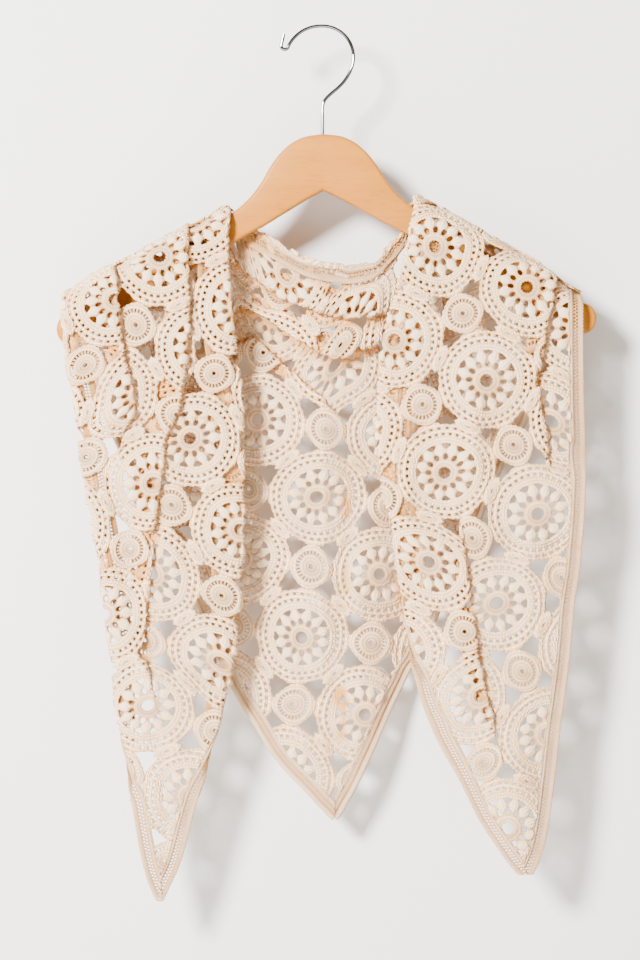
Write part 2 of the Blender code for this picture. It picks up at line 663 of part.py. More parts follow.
def build_tail(side, levels, lattice, neck_end):
    """The lace and the two edgings of a tail."""
    places = np.arange(levels[-1].z, levels[0].z + LINE_STEP, LINE_STEP)
    stretch = Stretch(lambda z: tail_line(levels, TAIL_ANCHOR, z), places, False)
    marks, folds = panel_marks(TAIL_RUNS)
    turn_at = {end: turn_level(levels, end) for end in ("low", "high")}

    def seam_arc(end, z, part):
        """Arc across the edging: 0 at the cloth's edge, 1 at the seam, just over 1 past the gap."""
        width = edging_width(stretch, z, end)
        gap = SEAM + TURN_GAP * math.exp(-((z - turn_at[end]) / TURN_REACH) ** 2)
        past = (part > 1.0) * gap * edge_stretch(stretch, z, end)
        offset = min(part, 1.0) * width + past
        return stretch.between(stretch.low, z) + offset if end == "low" else (
            stretch.between(stretch.high, z) - offset)

    def panel_arc(mark):
        return lambda z: min(max(column_arc(stretch, z, mark), seam_arc("low", z, 1.1)),
                             seam_arc("high", z, 1.1))

    start = panel_tip(stretch)
    grid = tail_grid(stretch, start, [], [panel_arc(mark) for mark in marks])
    holes = lace_holes(lattice, grid.min(axis=(0, 1)), grid.max(axis=(0, 1)))
    flat, triangles = triangulate(grid, folds, holes)
    walled_sheet("shawl_front_" + side, stretch, flat, triangles, LACE_FINISH)

    first_rows = np.linspace(levels[-1].z, start, TIP_ROWS + 1)[:-1]
    for end in ("low", "high"):
        parts = EDGING_PARTS if end == "low" else EDGING_PARTS[::-1]
        arcs = [lambda z, end=end, part=part: seam_arc(end, z, part) for part in parts]
        flat, triangles = triangulate(tail_grid(stretch, start, first_rows, arcs), [1, 2], [])
        kind = "trim_neck_" if end == neck_end else "trim_side_"
        walled_sheet(kind + side, stretch, flat, triangles, TRIM_FINISH)


def neck_width(x):
    """Width of the back's neck edging over x: it narrows where the back goes over the arms."""
    return TRIM_WIDTH * float(np.clip((NECK_EDGING_END + 1.5 - abs(x)) / 6.0, 0.0, 1.0))


def build_back():
    """The lace of the back, its neck edging and the edging of its two sloping sides."""
    places = np.arange(BACK_COLUMNS[0].x, BACK_COLUMNS[-1].x + LINE_STEP, LINE_STEP)
    stretch = Stretch(back_line, places, True)
    marks, folds = panel_marks(BACK_RUNS)
    corner = min(BACK_COLUMNS, key=lambda column: column.hem).x
    rows = sorted(set(BACK_PLACES) | {-NECK_EDGING_END, corner, NECK_EDGING_END})
    grid = np.zeros((len(rows), len(marks), 2))
    for r, x in enumerate(rows):
        low = stretch.between(stretch.low, x) + edging_width(stretch, x, "low")
        low += SEAM * edge_stretch(stretch, x, "low")
        high = stretch.between(stretch.high, x) - neck_width(x)
        if abs(x) <= NECK_EDGING_END:
            high -= SEAM
        for c, mark in enumerate(marks):
            grid[r, c] = (x, min(max(column_arc(stretch, x, mark), low), high))
    holes = lace_holes(BACK_LATTICE, grid.min(axis=(0, 1)), grid.max(axis=(0, 1)))
    flat, triangles = triangulate(grid, folds, holes)
    walled_sheet("shawl_back", stretch, flat, triangles, LACE_FINISH)

    spans = {"trim_hem_left": [x for x in rows if x < corner] + [corner - GAP / 2],
             "trim_hem_right": [corner + GAP / 2] + [x for x in rows if x > corner],
             "trim_neck_back": [x for x in rows if abs(x) <= NECK_EDGING_END]}
    for name, span in spans.items():
        strip = np.zeros((len(span), 3, 2))
        for r, x in enumerate(span):
            if name == "trim_neck_back":
                edge, width = stretch.between(stretch.high, x), -neck_width(x)
            else:
                edge, width = stretch.between(stretch.low, x), edging_width(stretch, x, "low")
            strip[r] = [(x, edge + part * width) for part in (0.0, 0.5, 1.0)]
        flat, triangles = triangulate(strip, [1], [])
        walled_sheet(name, stretch, flat, triangles, TRIM_FINISH)


def arm_outline():
    """Outline of the right half of the hanger, (x, z) from its upper edge at the joint."""
    upper = [(section.reach, section.top) for section in ARM_SECTIONS]
    lower = [(section.reach, section.bottom) for section in reversed(ARM_SECTIONS)]
    tip_top, tip_bottom = ARM_SECTIONS[-1].top, ARM_SECTIONS[-1].bottom
    radius = (tip_top - tip_bottom) / 2
    start = ARM_SECTIONS[-1].reach
    end = [(start + (ARM_REACH - start) * math.sin(a), (tip_top + tip_bottom) / 2 + radius * math.cos(a))
           for a in np.linspace(0, math.pi, 8)[1:-1]]
    return upper + end + lower


def build_hanger():
    """Two glued halves with rounded edges and a bore for the hook's shank."""
    cutter_mesh = bpy.data.meshes.new("hook_bore_cutter")
    shape = bmesh.new()
    bmesh.ops.create_cone(shape, cap_ends=True, segments=16, radius1=BORE_DIAMETER / 2 * MM,
                          radius2=BORE_DIAMETER / 2 * MM, depth=2 * BORE_DEPTH * MM)
    shape.to_mesh(cutter_mesh)
    shape.free()
    cutter = bpy.data.objects.new("hook_bore_cutter", cutter_mesh)
    cutter.location = (0, 0, HANGER_TOP_Z * MM)
    cutter.hide_render = True
    cutter.display_type = "WIRE"
    bpy.context.collection.objects.link(cutter)

    for side, mirror in (("left", -1), ("right", 1)):
        outline = [(max(x, GAP / 2) * mirror, z) for x, z in arm_outline()]
        count = len(outline)
        half = HANGER_THICKNESS / 2
        vertices = [(x, -half, z) for x, z in outline] + [(x, half, z) for x, z in outline]
        faces = [tuple(range(count)), tuple(range(2 * count - 1, count - 1, -1))]
        faces += [(i, i + count, (i + 1) % count + count, (i + 1) % count) for i in range(count)]
        if mirror > 0:
            faces = [face[::-1] for face in faces]
        item = mesh_object("hanger_arm_" + side, vertices, faces, WOOD_FINISH)
        item.location.z = HANGER_TOP_Z * MM
        item.rotation_euler.y = -HANGER_TILT
        bevel = item.modifiers.new("rounded edges", "BEVEL")
        bevel.width = HANGER_EDGE * MM
        bevel.segments = 3
        bevel.limit_method = "ANGLE"
        bevel.angle_limit = math.radians(60)
        bore = item.modifiers.new("hook bore", "BOOLEAN")
        bore.operation = "DIFFERENCE"
        bore.solver = "EXACT"
        bore.object = cutter
        item.data.shade_smooth()
        item.data.set_sharp_from_angle(angle=math.radians(40))


def hook_route():
    """Centreline of the wire: shank, bend, round the rod's space and an eased, curled end."""
    centre_z = WIRE / 2 - HOOK_RADIUS
    route = [(0.0, z) for z in np.linspace(HANGER_TOP_Z - BORE_DEPTH + 1.0, SHANK_BEND_Z - 4.0, 9)]
    side = math.radians(HOOK_START)
    start = np.array([HOOK_RADIUS * math.cos(side), centre_z + HOOK_RADIUS * math.sin(side)])
    lead = np.array([-math.sin(side), math.cos(side)])
    ends = np.array([(0.0, SHANK_BEND_Z - 4.0), (0.0, SHANK_BEND_Z + 8.0), start - 22.0 * lead, start])
    for t in np.linspace(0, 1, 13)[1:-1]:
        weights = ((1 - t) ** 3, 3 * t * (1 - t) ** 2, 3 * t * t * (1 - t), t ** 3)
        route.append(tuple(sum(w * p for w, p in zip(weights, ends))))
    for degrees in np.linspace(HOOK_START, HOOK_END, 27):
        angle = math.radians(degrees)
        radius = HOOK_RADIUS + HOOK_EASE * max(0.0, (degrees - 90.0) / (HOOK_END - 90.0)) ** 1.5
        route.append((radius * math.cos(angle), centre_z + radius * math.sin(angle)))
    x, z = route[-1]
    for degrees in np.linspace(0, -200, 9)[1:]:
        angle = math.radians(degrees)
        route.append((x - CURL_RADIUS + CURL_RADIUS * math.cos(angle), z + CURL_RADIUS * math.sin(angle)))
    x, z = route[-1]
    route += [(x + 0.22 * CURL_TAIL * t, z + 0.97 * CURL_TAIL * t) for t in (0.35, 0.7, 1.0)]
    return route


def build_hook():
    curve = bpy.data.curves.new("hanger_hook", "CURVE")
    curve.dimensions = "3D"
    curve.bevel_depth = WIRE / 2 * MM
    curve.bevel_resolution = 3
    curve.use_fill_caps = True
    curve.materials.append(finish_material("hanger_hook", WIRE_FINISH))
    route = hook_route()
    spline = curve.splines.new("POLY")
    spline.points.add(len(route) - 1)
    for point, (x, z) in zip(spline.points, route):
        point.co = (x * MM, 0.0, z * MM, 1.0)
    hook = bpy.data.objects.new("hanger_hook", curve)
    bpy.context.collection.objects.link(hook)


def main():
    clear_scene()
    build_hanger()
    build_hook()
    build_tail("left", LEFT_LEVELS, LEFT_LATTICE, "high")
    build_tail("right", RIGHT_LEVELS, RIGHT_LATTICE, "low")
    build_back()


main()
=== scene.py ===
"""The looks of a triangular crochet lace shawl draped over a wooden hanger with a wire hook.

The shawl is three stretches of one cloth: a tail over each arm and the back between them. A stretch is
worked out from lines, level ones for a tail and upright ones for the back. A line runs through the
cloth's folds, and its arc length gives the flat coordinates. Rosettes are crocheted flat, set out on a
lattice in those coordinates, cut at the edgings and laid over the drape. Sizes are in millimetres until
a mesh is made.
"""
import json
import math
from collections import namedtuple

import bpy
import numpy as np
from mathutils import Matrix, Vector
from mathutils.bvhtree import BVHTree

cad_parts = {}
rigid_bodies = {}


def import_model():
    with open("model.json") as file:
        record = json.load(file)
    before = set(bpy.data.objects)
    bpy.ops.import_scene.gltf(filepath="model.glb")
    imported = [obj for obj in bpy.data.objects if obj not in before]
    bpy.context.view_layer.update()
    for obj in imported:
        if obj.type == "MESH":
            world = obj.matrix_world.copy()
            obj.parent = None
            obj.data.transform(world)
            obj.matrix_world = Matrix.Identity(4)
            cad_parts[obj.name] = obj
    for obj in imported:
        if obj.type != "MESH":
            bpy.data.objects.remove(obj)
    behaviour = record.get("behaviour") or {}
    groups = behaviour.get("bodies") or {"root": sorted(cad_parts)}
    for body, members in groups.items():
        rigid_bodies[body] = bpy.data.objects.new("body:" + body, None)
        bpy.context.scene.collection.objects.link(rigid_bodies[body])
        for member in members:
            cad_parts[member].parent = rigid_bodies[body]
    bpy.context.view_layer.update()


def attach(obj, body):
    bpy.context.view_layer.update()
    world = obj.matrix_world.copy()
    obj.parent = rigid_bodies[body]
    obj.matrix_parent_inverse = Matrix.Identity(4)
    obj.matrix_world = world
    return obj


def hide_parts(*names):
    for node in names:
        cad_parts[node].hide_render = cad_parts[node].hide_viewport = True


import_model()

MM = 0.001
BODY = "root"

# Hook: its wire, then its crown's arc in degrees, which opens out past the top, ever faster by a power
WIRE = 2.8
HOOK_RADIUS = 25.6
HOOK_START = -18.0
HOOK_TOP = 90.0
HOOK_END = 162.0
HOOK_EASE = 4.0
EASE_POWER = 1.5

# The turned-back end: its curl in mm and degrees, and the length and lean of its straight tail
CURL_RADIUS = 3.0
CURL_TURN = -200.0
CURL_TAIL = 9.0
CURL_LEAN = (0.22, 0.97)

# The bend between shank and crown: its level, where it starts below that, and how far each end leads into
# it; then how deep the wire stands in its bore, and the room under it
SHANK_BEND_Z = -62.0
BEND_RUN = 4.0
BEND_PULL = 8.0
BEND_LEAD = 22.0
BORE_DEPTH = 20.0
BORE_ROOM = 1.0

# Points along the wire: shank, bend, crown, curl and the shares of the straight tail; sides of its section
SHANK_STEPS = 9
BEND_STEPS = 13
CROWN_STEPS = 27
CURL_STEPS = 9
TAIL_PLACES = (0.35, 0.7, 1.0)
WIRE_RESOLUTION = 6

# Hanger: its top, thickness, tilt and rounded edges; then the slope of its arms, half its neck's width, how
# far the arms start below the top, how far they reach, and how far the cloth's crown line is below them
HANGER_TOP_Z = -88.2
HANGER_THICKNESS = 12.0
HANGER_TILT = math.radians(1.2)
HANGER_EDGE = 3.0
EDGE_SEGMENTS = 5
SMOOTH_ANGLE = math.radians(35)
ARM_SLOPE = 0.594
NECK_HALF_WIDTH = 71.5
NECK_DROP = 60.4
ARM_REACH = 222.6
CROWN_Z = 7.8
GLUE_LINE = 0.02

# Points of a hanger half's outline over its neck, along its arm and round its end
NECK_STEPS = 40
ARM_STEPS = 14
END_STEPS = 16

# Half of the hanger from the joint to the tip: reach from the joint, upper and lower edge from its top
ArmSection = namedtuple("ArmSection", "reach top bottom")
ARM_SECTIONS = [
    ArmSection(0.0, 0.0, -46.5),
    ArmSection(14.0, -1.8, -53.6),
    ArmSection(25.6, -6.9, -60.4),
    ArmSection(35.1, -14.9, -66.0),
    ArmSection(43.6, -25.9, -71.0),
    ArmSection(52.0, -39.7, -75.8),
    ArmSection(61.1, -51.1, -80.5),
    ArmSection(71.5, -60.4, -86.4),
    ArmSection(213.0, -144.4, -168.8),
]

# Cloth: half the depth from layer to layer, how deep a whole fold and a whole tuck run, how round a fold and
# the back's crest are, how flat the crest of a tail is, and the most of a run that its rounding takes
PLEAT_PITCH = 4.0
FULL_PLEAT = 5.0
FULL_TUCK = 3.0
FOLD_ROUND = 9.0
CREST_ROUND = 14.0
CREST_FLATNESS = 0.8
RUN_SHARE = 0.4

# The CAD's gap, the seam where two edgings meet, the edging's width and the lace that lies under it
GAP = 0.3
SEAM = 0.1
TRIM_WIDTH = 12.5
TRIM_OVERLAP = 1.2

# Grid over which a stretch is tabulated, arcs past its ends, samples for each control point of a line, the
# middle of a run's control points, and the run of a tail on which its flat coordinates are its own
LINE_STEP = 2.0
ARC_STEP = 1.0
ARCS_BEFORE = 5
ARCS_AFTER = 3
LINE_SAMPLES = 6
MIDDLE = 1.5
TAIL_ANCHOR = 3

# Steps and halvings that find the crest of a tail, lines by which an edging starts before the tip, how far
# apart normals and the slope of an edge are taken, and the area under which a quad is left out
CREST_STEP = 2.0
CREST_HALVINGS = 30
TIP_STEPS = 4
NORMAL_STEP = 0.4
EDGE_RUN = 4.0
SMALLEST_QUAD = 0.02

# Uneven waves: how high, mm across and down for a radian, and where they start. The hanging cloth's are in
# y and grow below a level. Those of handwork pull flat points along each axis, slowly over a rosette and
# quickly within it.
Wave = namedtuple("Wave", "height across down start")
CLOTH_WAVES = [Wave(1.9, 17.0, 160.0, 0.0), Wave(1.3, 9.5, -95.0, 1.0)]
WAVES_BELOW = -300.0
WAVES_EASE = 30.0
SIDEWAYS_PULLS = [Wave(1.1, 23.0, 15.0, 0.0), Wave(0.22, 9.0, 4.1, 0.0)]
UPRIGHT_PULLS = [Wave(1.1, 17.0, -21.0, 1.0), Wave(0.22, 4.7, -8.0, 0.0)]

# Rays that tell how closely cloth and wood hem the cloth in, which sets its painted deep shade: every so many
# lines, mm along them, start, nearest and reach. A fan turns round the cloth's normal from its side, in
# degrees, and leans away from it. Those from above, which paint the shade under overhanging folds, count for
# a share of those around.
SHELTER_SKIP = 2
SHELTER_STEP = 4.0
SHELTER_START = 2.2
SHELTER_NEAR = 1.2
SHELTER_REACH = 36.0
Fan = namedtuple("Fan", "start end rays lean")
FANS_AROUND = [Fan(0, 300, 6, 0.8), Fan(0, 300, 6, 2.0)]
FANS_ABOVE = [Fan(55, 125, 3, 1.2), Fan(55, 125, 3, 2.4), Fan(55, 125, 3, 3.8)]
ABOVE_SHARE = 0.85

# Where the back's two sheets part, a level above the tails, half the back's neck edging, and the most that
# an edging's slope counts for, squared
BACK_SPLIT = 0.0
TAIL_TOP = -100.0
NECK_EDGING_END = 68.0
STEEPEST = 6.0

# A tail's level sections, from the crest over the arm down to the tip. x runs from low to high; a fold's
# layer turns back at fold_x and runs under_x deep behind it. depth is the first layer's y.
Level = namedtuple("Level", "z low_tuck low fold_1 under_1 fold_2 under_2 high high_tuck depth bow")

LEFT_LEVELS = [
    Level(-120, 20, -214.0, -172, 17, -108, 20, -78.0, 26, -31.5, 0),
    Level(-184, 20, -214.0, -171, 17, -111, 20, -77.0, 26, -31.5, 0),
    Level(-227, 20, -212.5, -167, 17, -109, 20, -76.0, 26, -31.5, 0),
    Level(-269, 20, -210.0, -162, 16, -111, 20, -70.0, 26, -31.0, 2),
    Level(-311, 20, -203.0, -154, 9, -117, 20, -65.7, 26, -29.5, 4),
    Level(-339, 20, -199.5, -162, 1, -127.5, 20, -65.4, 26, -27.0, 5),
    Level(-379, 20, -194.0, -168, 0, -133.4, 19, -65.0, 26, -25.5, 6),
    Level(-426, 20, -185.5, -168, 0, -138.0, 17, -65.5, 26, -24.5, 7),
    Level(-460, 20, -180.5, -168, 0, -142.0, 15, -66.0, 25, -24.0, 7),
    Level(-502, 20, -175.5, -165, 0, -146.0, 9, -70.0, 22, -22.0, 7),
    Level(-549, 17, -171.0, -160, 0, -138.0, 1, -79.0, 16, -18.0, 6),
    Level(-591, 9, -163.5, -150, 0, -130.0, 0, -90.0, 8, -16.0, 5),
    Level(-618, 3.5, -159.5, -145, 0, -128.0, 0, -97.0, 2, -15.5, 3),
    Level(-645, 0, -155.5, -142, 0, -128.0, 0, -105.0, 0, -15.5, 2),
    Level(-692, 0, -146.6, -139, 0, -129.0, 0, -118.0, 0, -15.5, 1),
    Level(-709, 0, -141.0, -137, 0, -131.0, 0, -126.0, 0, -15.5, 0),
    Level(-719, 0, -136.5, -135, 0, -132.5, 0, -130.5, 0, -15.5, 0),
]

RIGHT_LEVELS = [
    Level(-120, 30, 78.5, 128, 0, 192.0, 14, 213.0, 0, -24.5, 0),
    Level(-184, 30, 69.0, 125, 0, 191.0, 14, 213.5, 0, -24.5, 0),
    Level(-207, 30, 63.0, 122, 0, 190.4, 14, 213.6, 0, -24.5, 0),
    Level(-227, 30, 57.5, 118, 0, 187.9, 14, 213.7, 0, -24.5, 0),
    Level(-254, 30, 51.6, 112, 0, 182.5, 14, 213.8, 0, -24.5, 1),
    Level(-291, 29, 46.0, 108, 0, 177.0, 13, 214.3, 0, -24.0, 3),
    Level(-311, 28, 45.2, 108, 0, 178.0, 11, 214.8, 0, -23.5, 4),
    Level(-345, 26, 45.5, 108, 0, 184.0, 5, 216.0, 0, -22.5, 5),
    Level(-375, 24, 48.5, 110, 0, 186.0, 0, 215.6, 0, -22.0, 6),
    Level(-408, 22, 56.0, 113, 1, 186.0, 0, 214.3, 0, -22.0, 6),
    Level(-442, 18, 61.0, 117, 8, 184.0, 0, 212.0, 0, -23.0, 6),
    Level(-476, 12, 66.0, 122, 11, 182.0, 0, 207.0, 0, -24.0, 6),
    Level(-515, 4, 71.5, 127, 11, 180.0, 0, 203.6, 0, -24.0, 5),
    Level(-549, 0, 79.0, 133, 8, 178.0, 0, 199.6, 0, -22.5, 4),
    Level(-583, 0, 92.0, 143, 3, 176.0, 0, 195.0, 0, -19.0, 3),
    Level(-621, 0, 112.6, 150, 0, 174.0, 0, 190.4, 0, -16.5, 2),
    Level(-654, 0, 129.3, 154, 0, 172.0, 0, 186.0, 0, -16.0, 1),
    Level(-675, 0, 143.0, 159, 0, 171.0, 0, 181.6, 0, -16.0, 0),
    Level(-687, 0, 151.5, 162, 0, 170.0, 0, 177.5, 0, -16.0, 0),
    Level(-697, 0, 160.0, 165, 0, 169.0, 0, 173.0, 0, -16.0, 0),
]

# The back's upright lines, from arm to arm. Each goes up from the sloping hem: behind a soft third fold,
# round two swags that overlap downwards, and over the rolled neck edge or the arm's crest. front is the
# upper swag's y, and roll the depth to which the neck edge hangs in front of it.
Column = namedtuple("Column", "x hem lap lap_under low_swag low_under high_swag high_under top roll "
                              "roll_y front")

BACK_COLUMNS = [
    Column(-214.0, -250, -240, 0, -236, 0, -230, 0, -221.0, 0, 0, 31.5),
    Column(-190.0, -306, -270, 0, -250, 0, -235, 0, -204.0, 0, 0, 31.0),
    Column(-160.0, -372, -290, 0, -255, 0, -225, 0, -190.0, 0, 0, 26.0),
    Column(-130.0, -430, -300, 0, -250, 0, -215, 0, -173.0, 0, 0, 23.5),
    Column(-114.0, -463, -304, 0, -246, 0, -208, 0, -165.0, 0, 0, 20.5),
    Column(-100.0, -494, -300, 1, -242, 1.2, -203, 1.2, -158.5, 0, 0, 18.0),
    Column(-86.0, -526, -292, 2.2, -237, 2.8, -197, 2.8, -151.0, 0, 0, 16.0),
    Column(-78.0, -544, -286, 3.2, -234, 4.4, -192, 4.4, -147.5, 0, 0, 15.0),
    Column(-74.0, -551, -280, 4, -233, 5, -192, 5, -146.5, 1, 10.0, 15.0),
    Column(-68.0, -562, -256, 6, -230, 8, -195, 8, -156.0, 12, 10, 14.0),
    Column(-60.0, -574, -256, 9, -231, 12, -203, 12, -163.5, 17, 9.5, 12.5),
    Column(-41.0, -604, -270, 12, -242, 16, -217, 18, -173.5, 17, 5, 7.5),
    Column(-15.0, -632, -293, 9, -259.5, 19, -229.5, 22, -189.0, 16, -1, 2.0),
    Column(0.0, -648, -306, 5, -269, 20, -235.5, 23, -193.5, 16, -3, 0.5),
    Column(10.3, -657, -318, 2, -272, 20, -238, 23, -195.0, 16, -4, 0.0),
    Column(22.0, -641, -322, 0, -270.5, 19, -239, 22, -196.0, 16, -4, 0.0),
    Column(41.0, -603, -325, 0, -263, 15, -237, 18, -192.0, 16, -1, 3.0),
    Column(58.0, -565, -325, 0, -253, 11, -234, 12, -175.5, 16, 7, 10.0),
    Column(68.0, -545, -320, 0, -248, 7, -228, 8, -166.0, 12, 10, 14.0),
    Column(74.0, -533, -313, 0, -245, 5, -222, 5, -142.5, 1, 10.5, 16.0),
    Column(78.0, -528, -310, 0, -243, 4.2, -218, 4.2, -141.0, 0, 0, 17.0),
    Column(90.0, -503, -300, 0, -240, 2.6, -209, 2.6, -144.5, 0, 0, 19.5),
    Column(104.0, -472, -294, 0, -240, 1.2, -206, 1.2, -152.5, 0, 0, 22.0),
    Column(122.0, -432, -290, 0, -240, 0, -205, 0, -162.6, 0, 0, 24.0),
    Column(150.0, -366, -280, 0, -240, 0, -215, 0, -178.5, 0, 0, 24.5),
    Column(180.0, -307, -265, 0, -244, 0, -225, 0, -195.0, 0, 0, 24.0),
    Column(200.0, -264, -247, 0, -238, 0, -229, 0, -211.5, 0, 0, 17.5),
    Column(213.0, -240, -236, 0, -232, 0, -227, 0, -219.0, 0, 0, 16.5),
]

# Lattice of each stretch: the turn of its first direction from +X and the place of one large rosette
Lattice = namedtuple("Lattice", "turn x z")
LEFT_LATTICE = Lattice(math.radians(70.0), -133.4, -191.6)
RIGHT_LATTICE = Lattice(math.radians(111.0), 134.5, -291.8)
BACK_LATTICE = Lattice(math.radians(-6.5), -3.7, -388.0)

# Main creases of the hanging cloth: both ends, half the width and how far it stands back. Ridges stand
# forward and have a depth below 0. Each one bends and its width changes along it, in waves.
Crease = namedtuple("Crease", "x1 z1 x2 z2 width depth")
CREASE_BEND = 3.5
BEND_WAVE = 27.0
WIDTH_CHANGE = 0.3
WIDTH_WAVE = 34.0

LEFT_CREASES = [
    Crease(-188, -345, -143, -610, 12.0, -3.8),
    Crease(-172, -330, -152, -500, 9.0, 3.0),
    Crease(-89, -225, -77, -410, 11.0, -3.4),
    Crease(-120, -290, -106, -470, 10.0, 3.2),
    Crease(-101, -440, -122, -640, 10.0, -3.2),
    Crease(-135, -520, -131, -690, 8.0, 2.6),
]

RIGHT_CREASES = [
    Crease(89, -250, 105, -473, 12.0, 4.0),
    Crease(64, -300, 84, -520, 9.0, -2.8),
    Crease(121, -270, 135, -440, 11.0, -3.2),
    Crease(163, -350, 180, -555, 12.0, -3.8),
    Crease(150, -400, 158, -560, 9.0, 2.8),
    Crease(130, -515, 163, -640, 10.0, -3.2),
    Crease(186, -560, 176, -670, 7.0, 2.2),
]

BACK_CREASES = [
    Crease(-78, -232, 18, -288, 8.0, 6.0),
    Crease(-2, -286, 74, -258, 8.0, 6.0),
    Crease(-66, -204, 18, -248, 6.0, 3.6),
    Crease(-4, -248, 66, -242, 6.0, 3.6),
    Crease(-66, -214, 30, -258, 7.0, -3.2),
    Crease(-74, -240, 14, -332, 9.0, 5.0),
    Crease(-72, -255, 6, -440, 13.0, 4.0),
    Crease(64, -270, 6, -490, 13.0, 3.8),
    Crease(-48, -300, -6, -560, 11.0, -3.4),
    Crease(38, -330, 24, -600, 10.0, -3.2),
    Crease(-30, -430, 2, -620, 9.0, 2.8),
    Crease(-150, -270, -90, -440, 12.0, 3.4),
    Crease(-118, -300, -62, -520, 10.0, -3.0),
    Crease(150, -265, 95, -430, 12.0, 3.4),
    Crease(122, -300, 68, -500, 10.0, -3.0),
]

# A round of crochet in a rosette: its radius, how far it stands proud, which also paints it lighter or in
# shade, half its thickness, then the repeat of stitches in which holes lie, the first open stitch, how many
# are open, the hole's width there, whether the holes go on outwards from this round, and how far and how
# often its radius waves.
Round = namedtuple("Round", "r lift half repeat first holes width open wave waves",
                   defaults=(1, 0, 0, 0.0, False, 0, 1))

LARGE_STITCHES = 72
LARGE_ROSETTE = [
    Round(4.9, 0.00, 0.45, wave=0.45, waves=12),
    Round(6.1, 0.75, 0.90, wave=0.1, waves=12),
    Round(7.5, -0.20, 0.60),
    Round(9.0, 0.75, 0.95),
    Round(10.9, 0.05, 0.60, 6, 0, 3, 2.2, True),
    Round(12.9, -0.05, 0.55, 6, 0, 3, 3.9, True),
    Round(14.9, 0.00, 0.55, 6, 0, 3, 3.4, True),
    Round(16.0, 0.00, 0.50, 6, 0, 3, 2.2),
    Round(17.2, -0.30, 0.45, 6, 0, 3, 1.7),
    Round(18.6, -0.40, 0.45, 6, 0, 3, 1.5),
    Round(19.9, -0.20, 0.45, 6, 0, 3, 2.2, True),
    Round(21.2, 0.00, 0.50, 6, 0, 3, 4.6, True),
    Round(22.6, 0.00, 0.50, 6, 0, 3, 6.8, True),
    Round(24.2, 0.15, 0.60, 6, 0, 3, 6.2),
    Round(25.3, 1.05, 1.00),
    Round(26.5, -0.05, 0.65),
    Round(27.7, 1.15, 1.00),
    Round(28.9, -0.05, 0.65),
    Round(30.2, 0.55, 0.85, 2, 0, 1, 2.3, True),
    Round(32.6, 0.30, 0.75, 2, 0, 1, 2.7),
    Round(33.8, 0.95, 0.95),
    Round(35.0, 0.15, 0.70, 2, 1, 1, 2.1, True),
    Round(37.2, 0.10, 0.65, 2, 1, 1, 2.5),
    Round(38.2, 0.85, 0.90, wave=0.4, waves=8),
    Round(39.3, -0.05, 0.60, wave=0.8, waves=8),
    Round(40.3, 0.35, 0.70, wave=1.2, waves=8),
]

SMALL_STITCHES = 48
SMALL_ROSETTE = [
    Round(1.5, 0.00, 0.45),
    Round(2.8, 0.85, 0.90),
    Round(4.1, -0.10, 0.60),
    Round(5.4, 0.90, 0.95),
    Round(6.7, -0.10, 0.60),
    Round(8.0, 0.85, 0.95),
    Round(9.4, 0.15, 0.70, 2, 0, 1, 1.2, True),
    Round(12.4, 0.15, 0.70, 2, 0, 1, 1.5),
    Round(13.6, 0.95, 0.95),
    Round(14.9, 0.00, 0.65),
    Round(16.0, 0.55, 0.80, wave=0.4, waves=4),
    Round(16.9, 0.10, 0.60, wave=0.8, waves=4),
]

# A long leaf that joins four rosettes at the middle between them
JOINT_STITCHES = 20
JOINT_LENGTH = 2.5
JOINT = [
    Round(0.4, 0.15, 0.50),
    Round(1.5, 0.70, 0.85),
    Round(2.6, 0.15, 0.60),
    Round(3.7, 0.65, 0.85),
    Round(4.8, 0.15, 0.55),
]

# How far the outermost stitches of a rosette stand out and in by turns
EDGE_SCALLOP = 0.35

# Puffs of a large rosette: their ring, stitches from one to the next, the first one's, radius and height
PUFF_RING = 18.7
PUFF_REPEAT = 6
PUFF_MIDDLE = 4.5
PUFF_RADIUS = 4.5
PUFF_LIFT = 2.4

# Lace field: its pitch, how much rosettes are turned and differ in size, how far their middles dome over
# their reach, and the share of the relief that the rear of the lace has
ROSETTE_SEED = 7
LATTICE_PITCH = 58.0
ROSETTE_TURN = 0.05
ROSETTE_SIZE = 0.012
ROSETTE_DOME = 1.0
ROSETTE_REACH = 41.0
BACK_SHARE = 0.7
MERGE_REACH = 0.01

# A row of an edging, from its free edge inwards: distance, then as in a round. Every other stitch rises.
Row = namedtuple("Row", "t lift half first holes width open wave", defaults=(0, 0, 0.0, False, 0))
EDGING_STITCHES = 2
EDGING_REPEAT = 2.9
STITCH_RISE = 0.22
EDGING_ROWS = [
    Row(0.0, 0.00, 0.45, wave=0.45),
    Row(0.9, 0.50, 0.80, wave=0.25),
    Row(2.2, 0.30, 0.75),
    Row(3.4, 0.10, 0.65),
    Row(4.4, -0.45, 0.45, 0, 1, 1.5, True, wave=0.25),
    Row(5.9, -0.30, 0.45, 0, 1, 1.6, wave=0.25),
    Row(6.6, -0.30, 0.45, 1, 1, 1.5, True, wave=-0.25),
    Row(8.1, -0.45, 0.45, 1, 1, 1.6, wave=-0.25),
    Row(9.1, 0.10, 0.65),
    Row(10.2, 0.80, 0.95),
    Row(11.4, 0.00, 0.60),
    Row(12.5, 0.45, 0.75),
]

# The hem of the back rolls to a cord with a groove behind it, whose low rows are painted in shade as a shadow
# line
HEM_ROWS = [
    Row(0.0, -0.10, 0.50, wave=0.15),
    Row(1.1, 0.75, 0.90),
    Row(2.6, 1.05, 1.00),
    Row(4.0, 0.45, 0.70),
    Row(4.8, -0.70, 0.40, wave=0.2),
    Row(5.7, -0.45, 0.45, wave=0.2),
    Row(6.6, 0.35, 0.75),
    Row(8.0, 0.05, 0.60, 0, 1, 1.0, True),
    Row(9.4, 0.05, 0.60, 0, 1, 1.2),
    Row(10.8, 0.60, 0.85),
    Row(12.5, 0.40, 0.75),
]
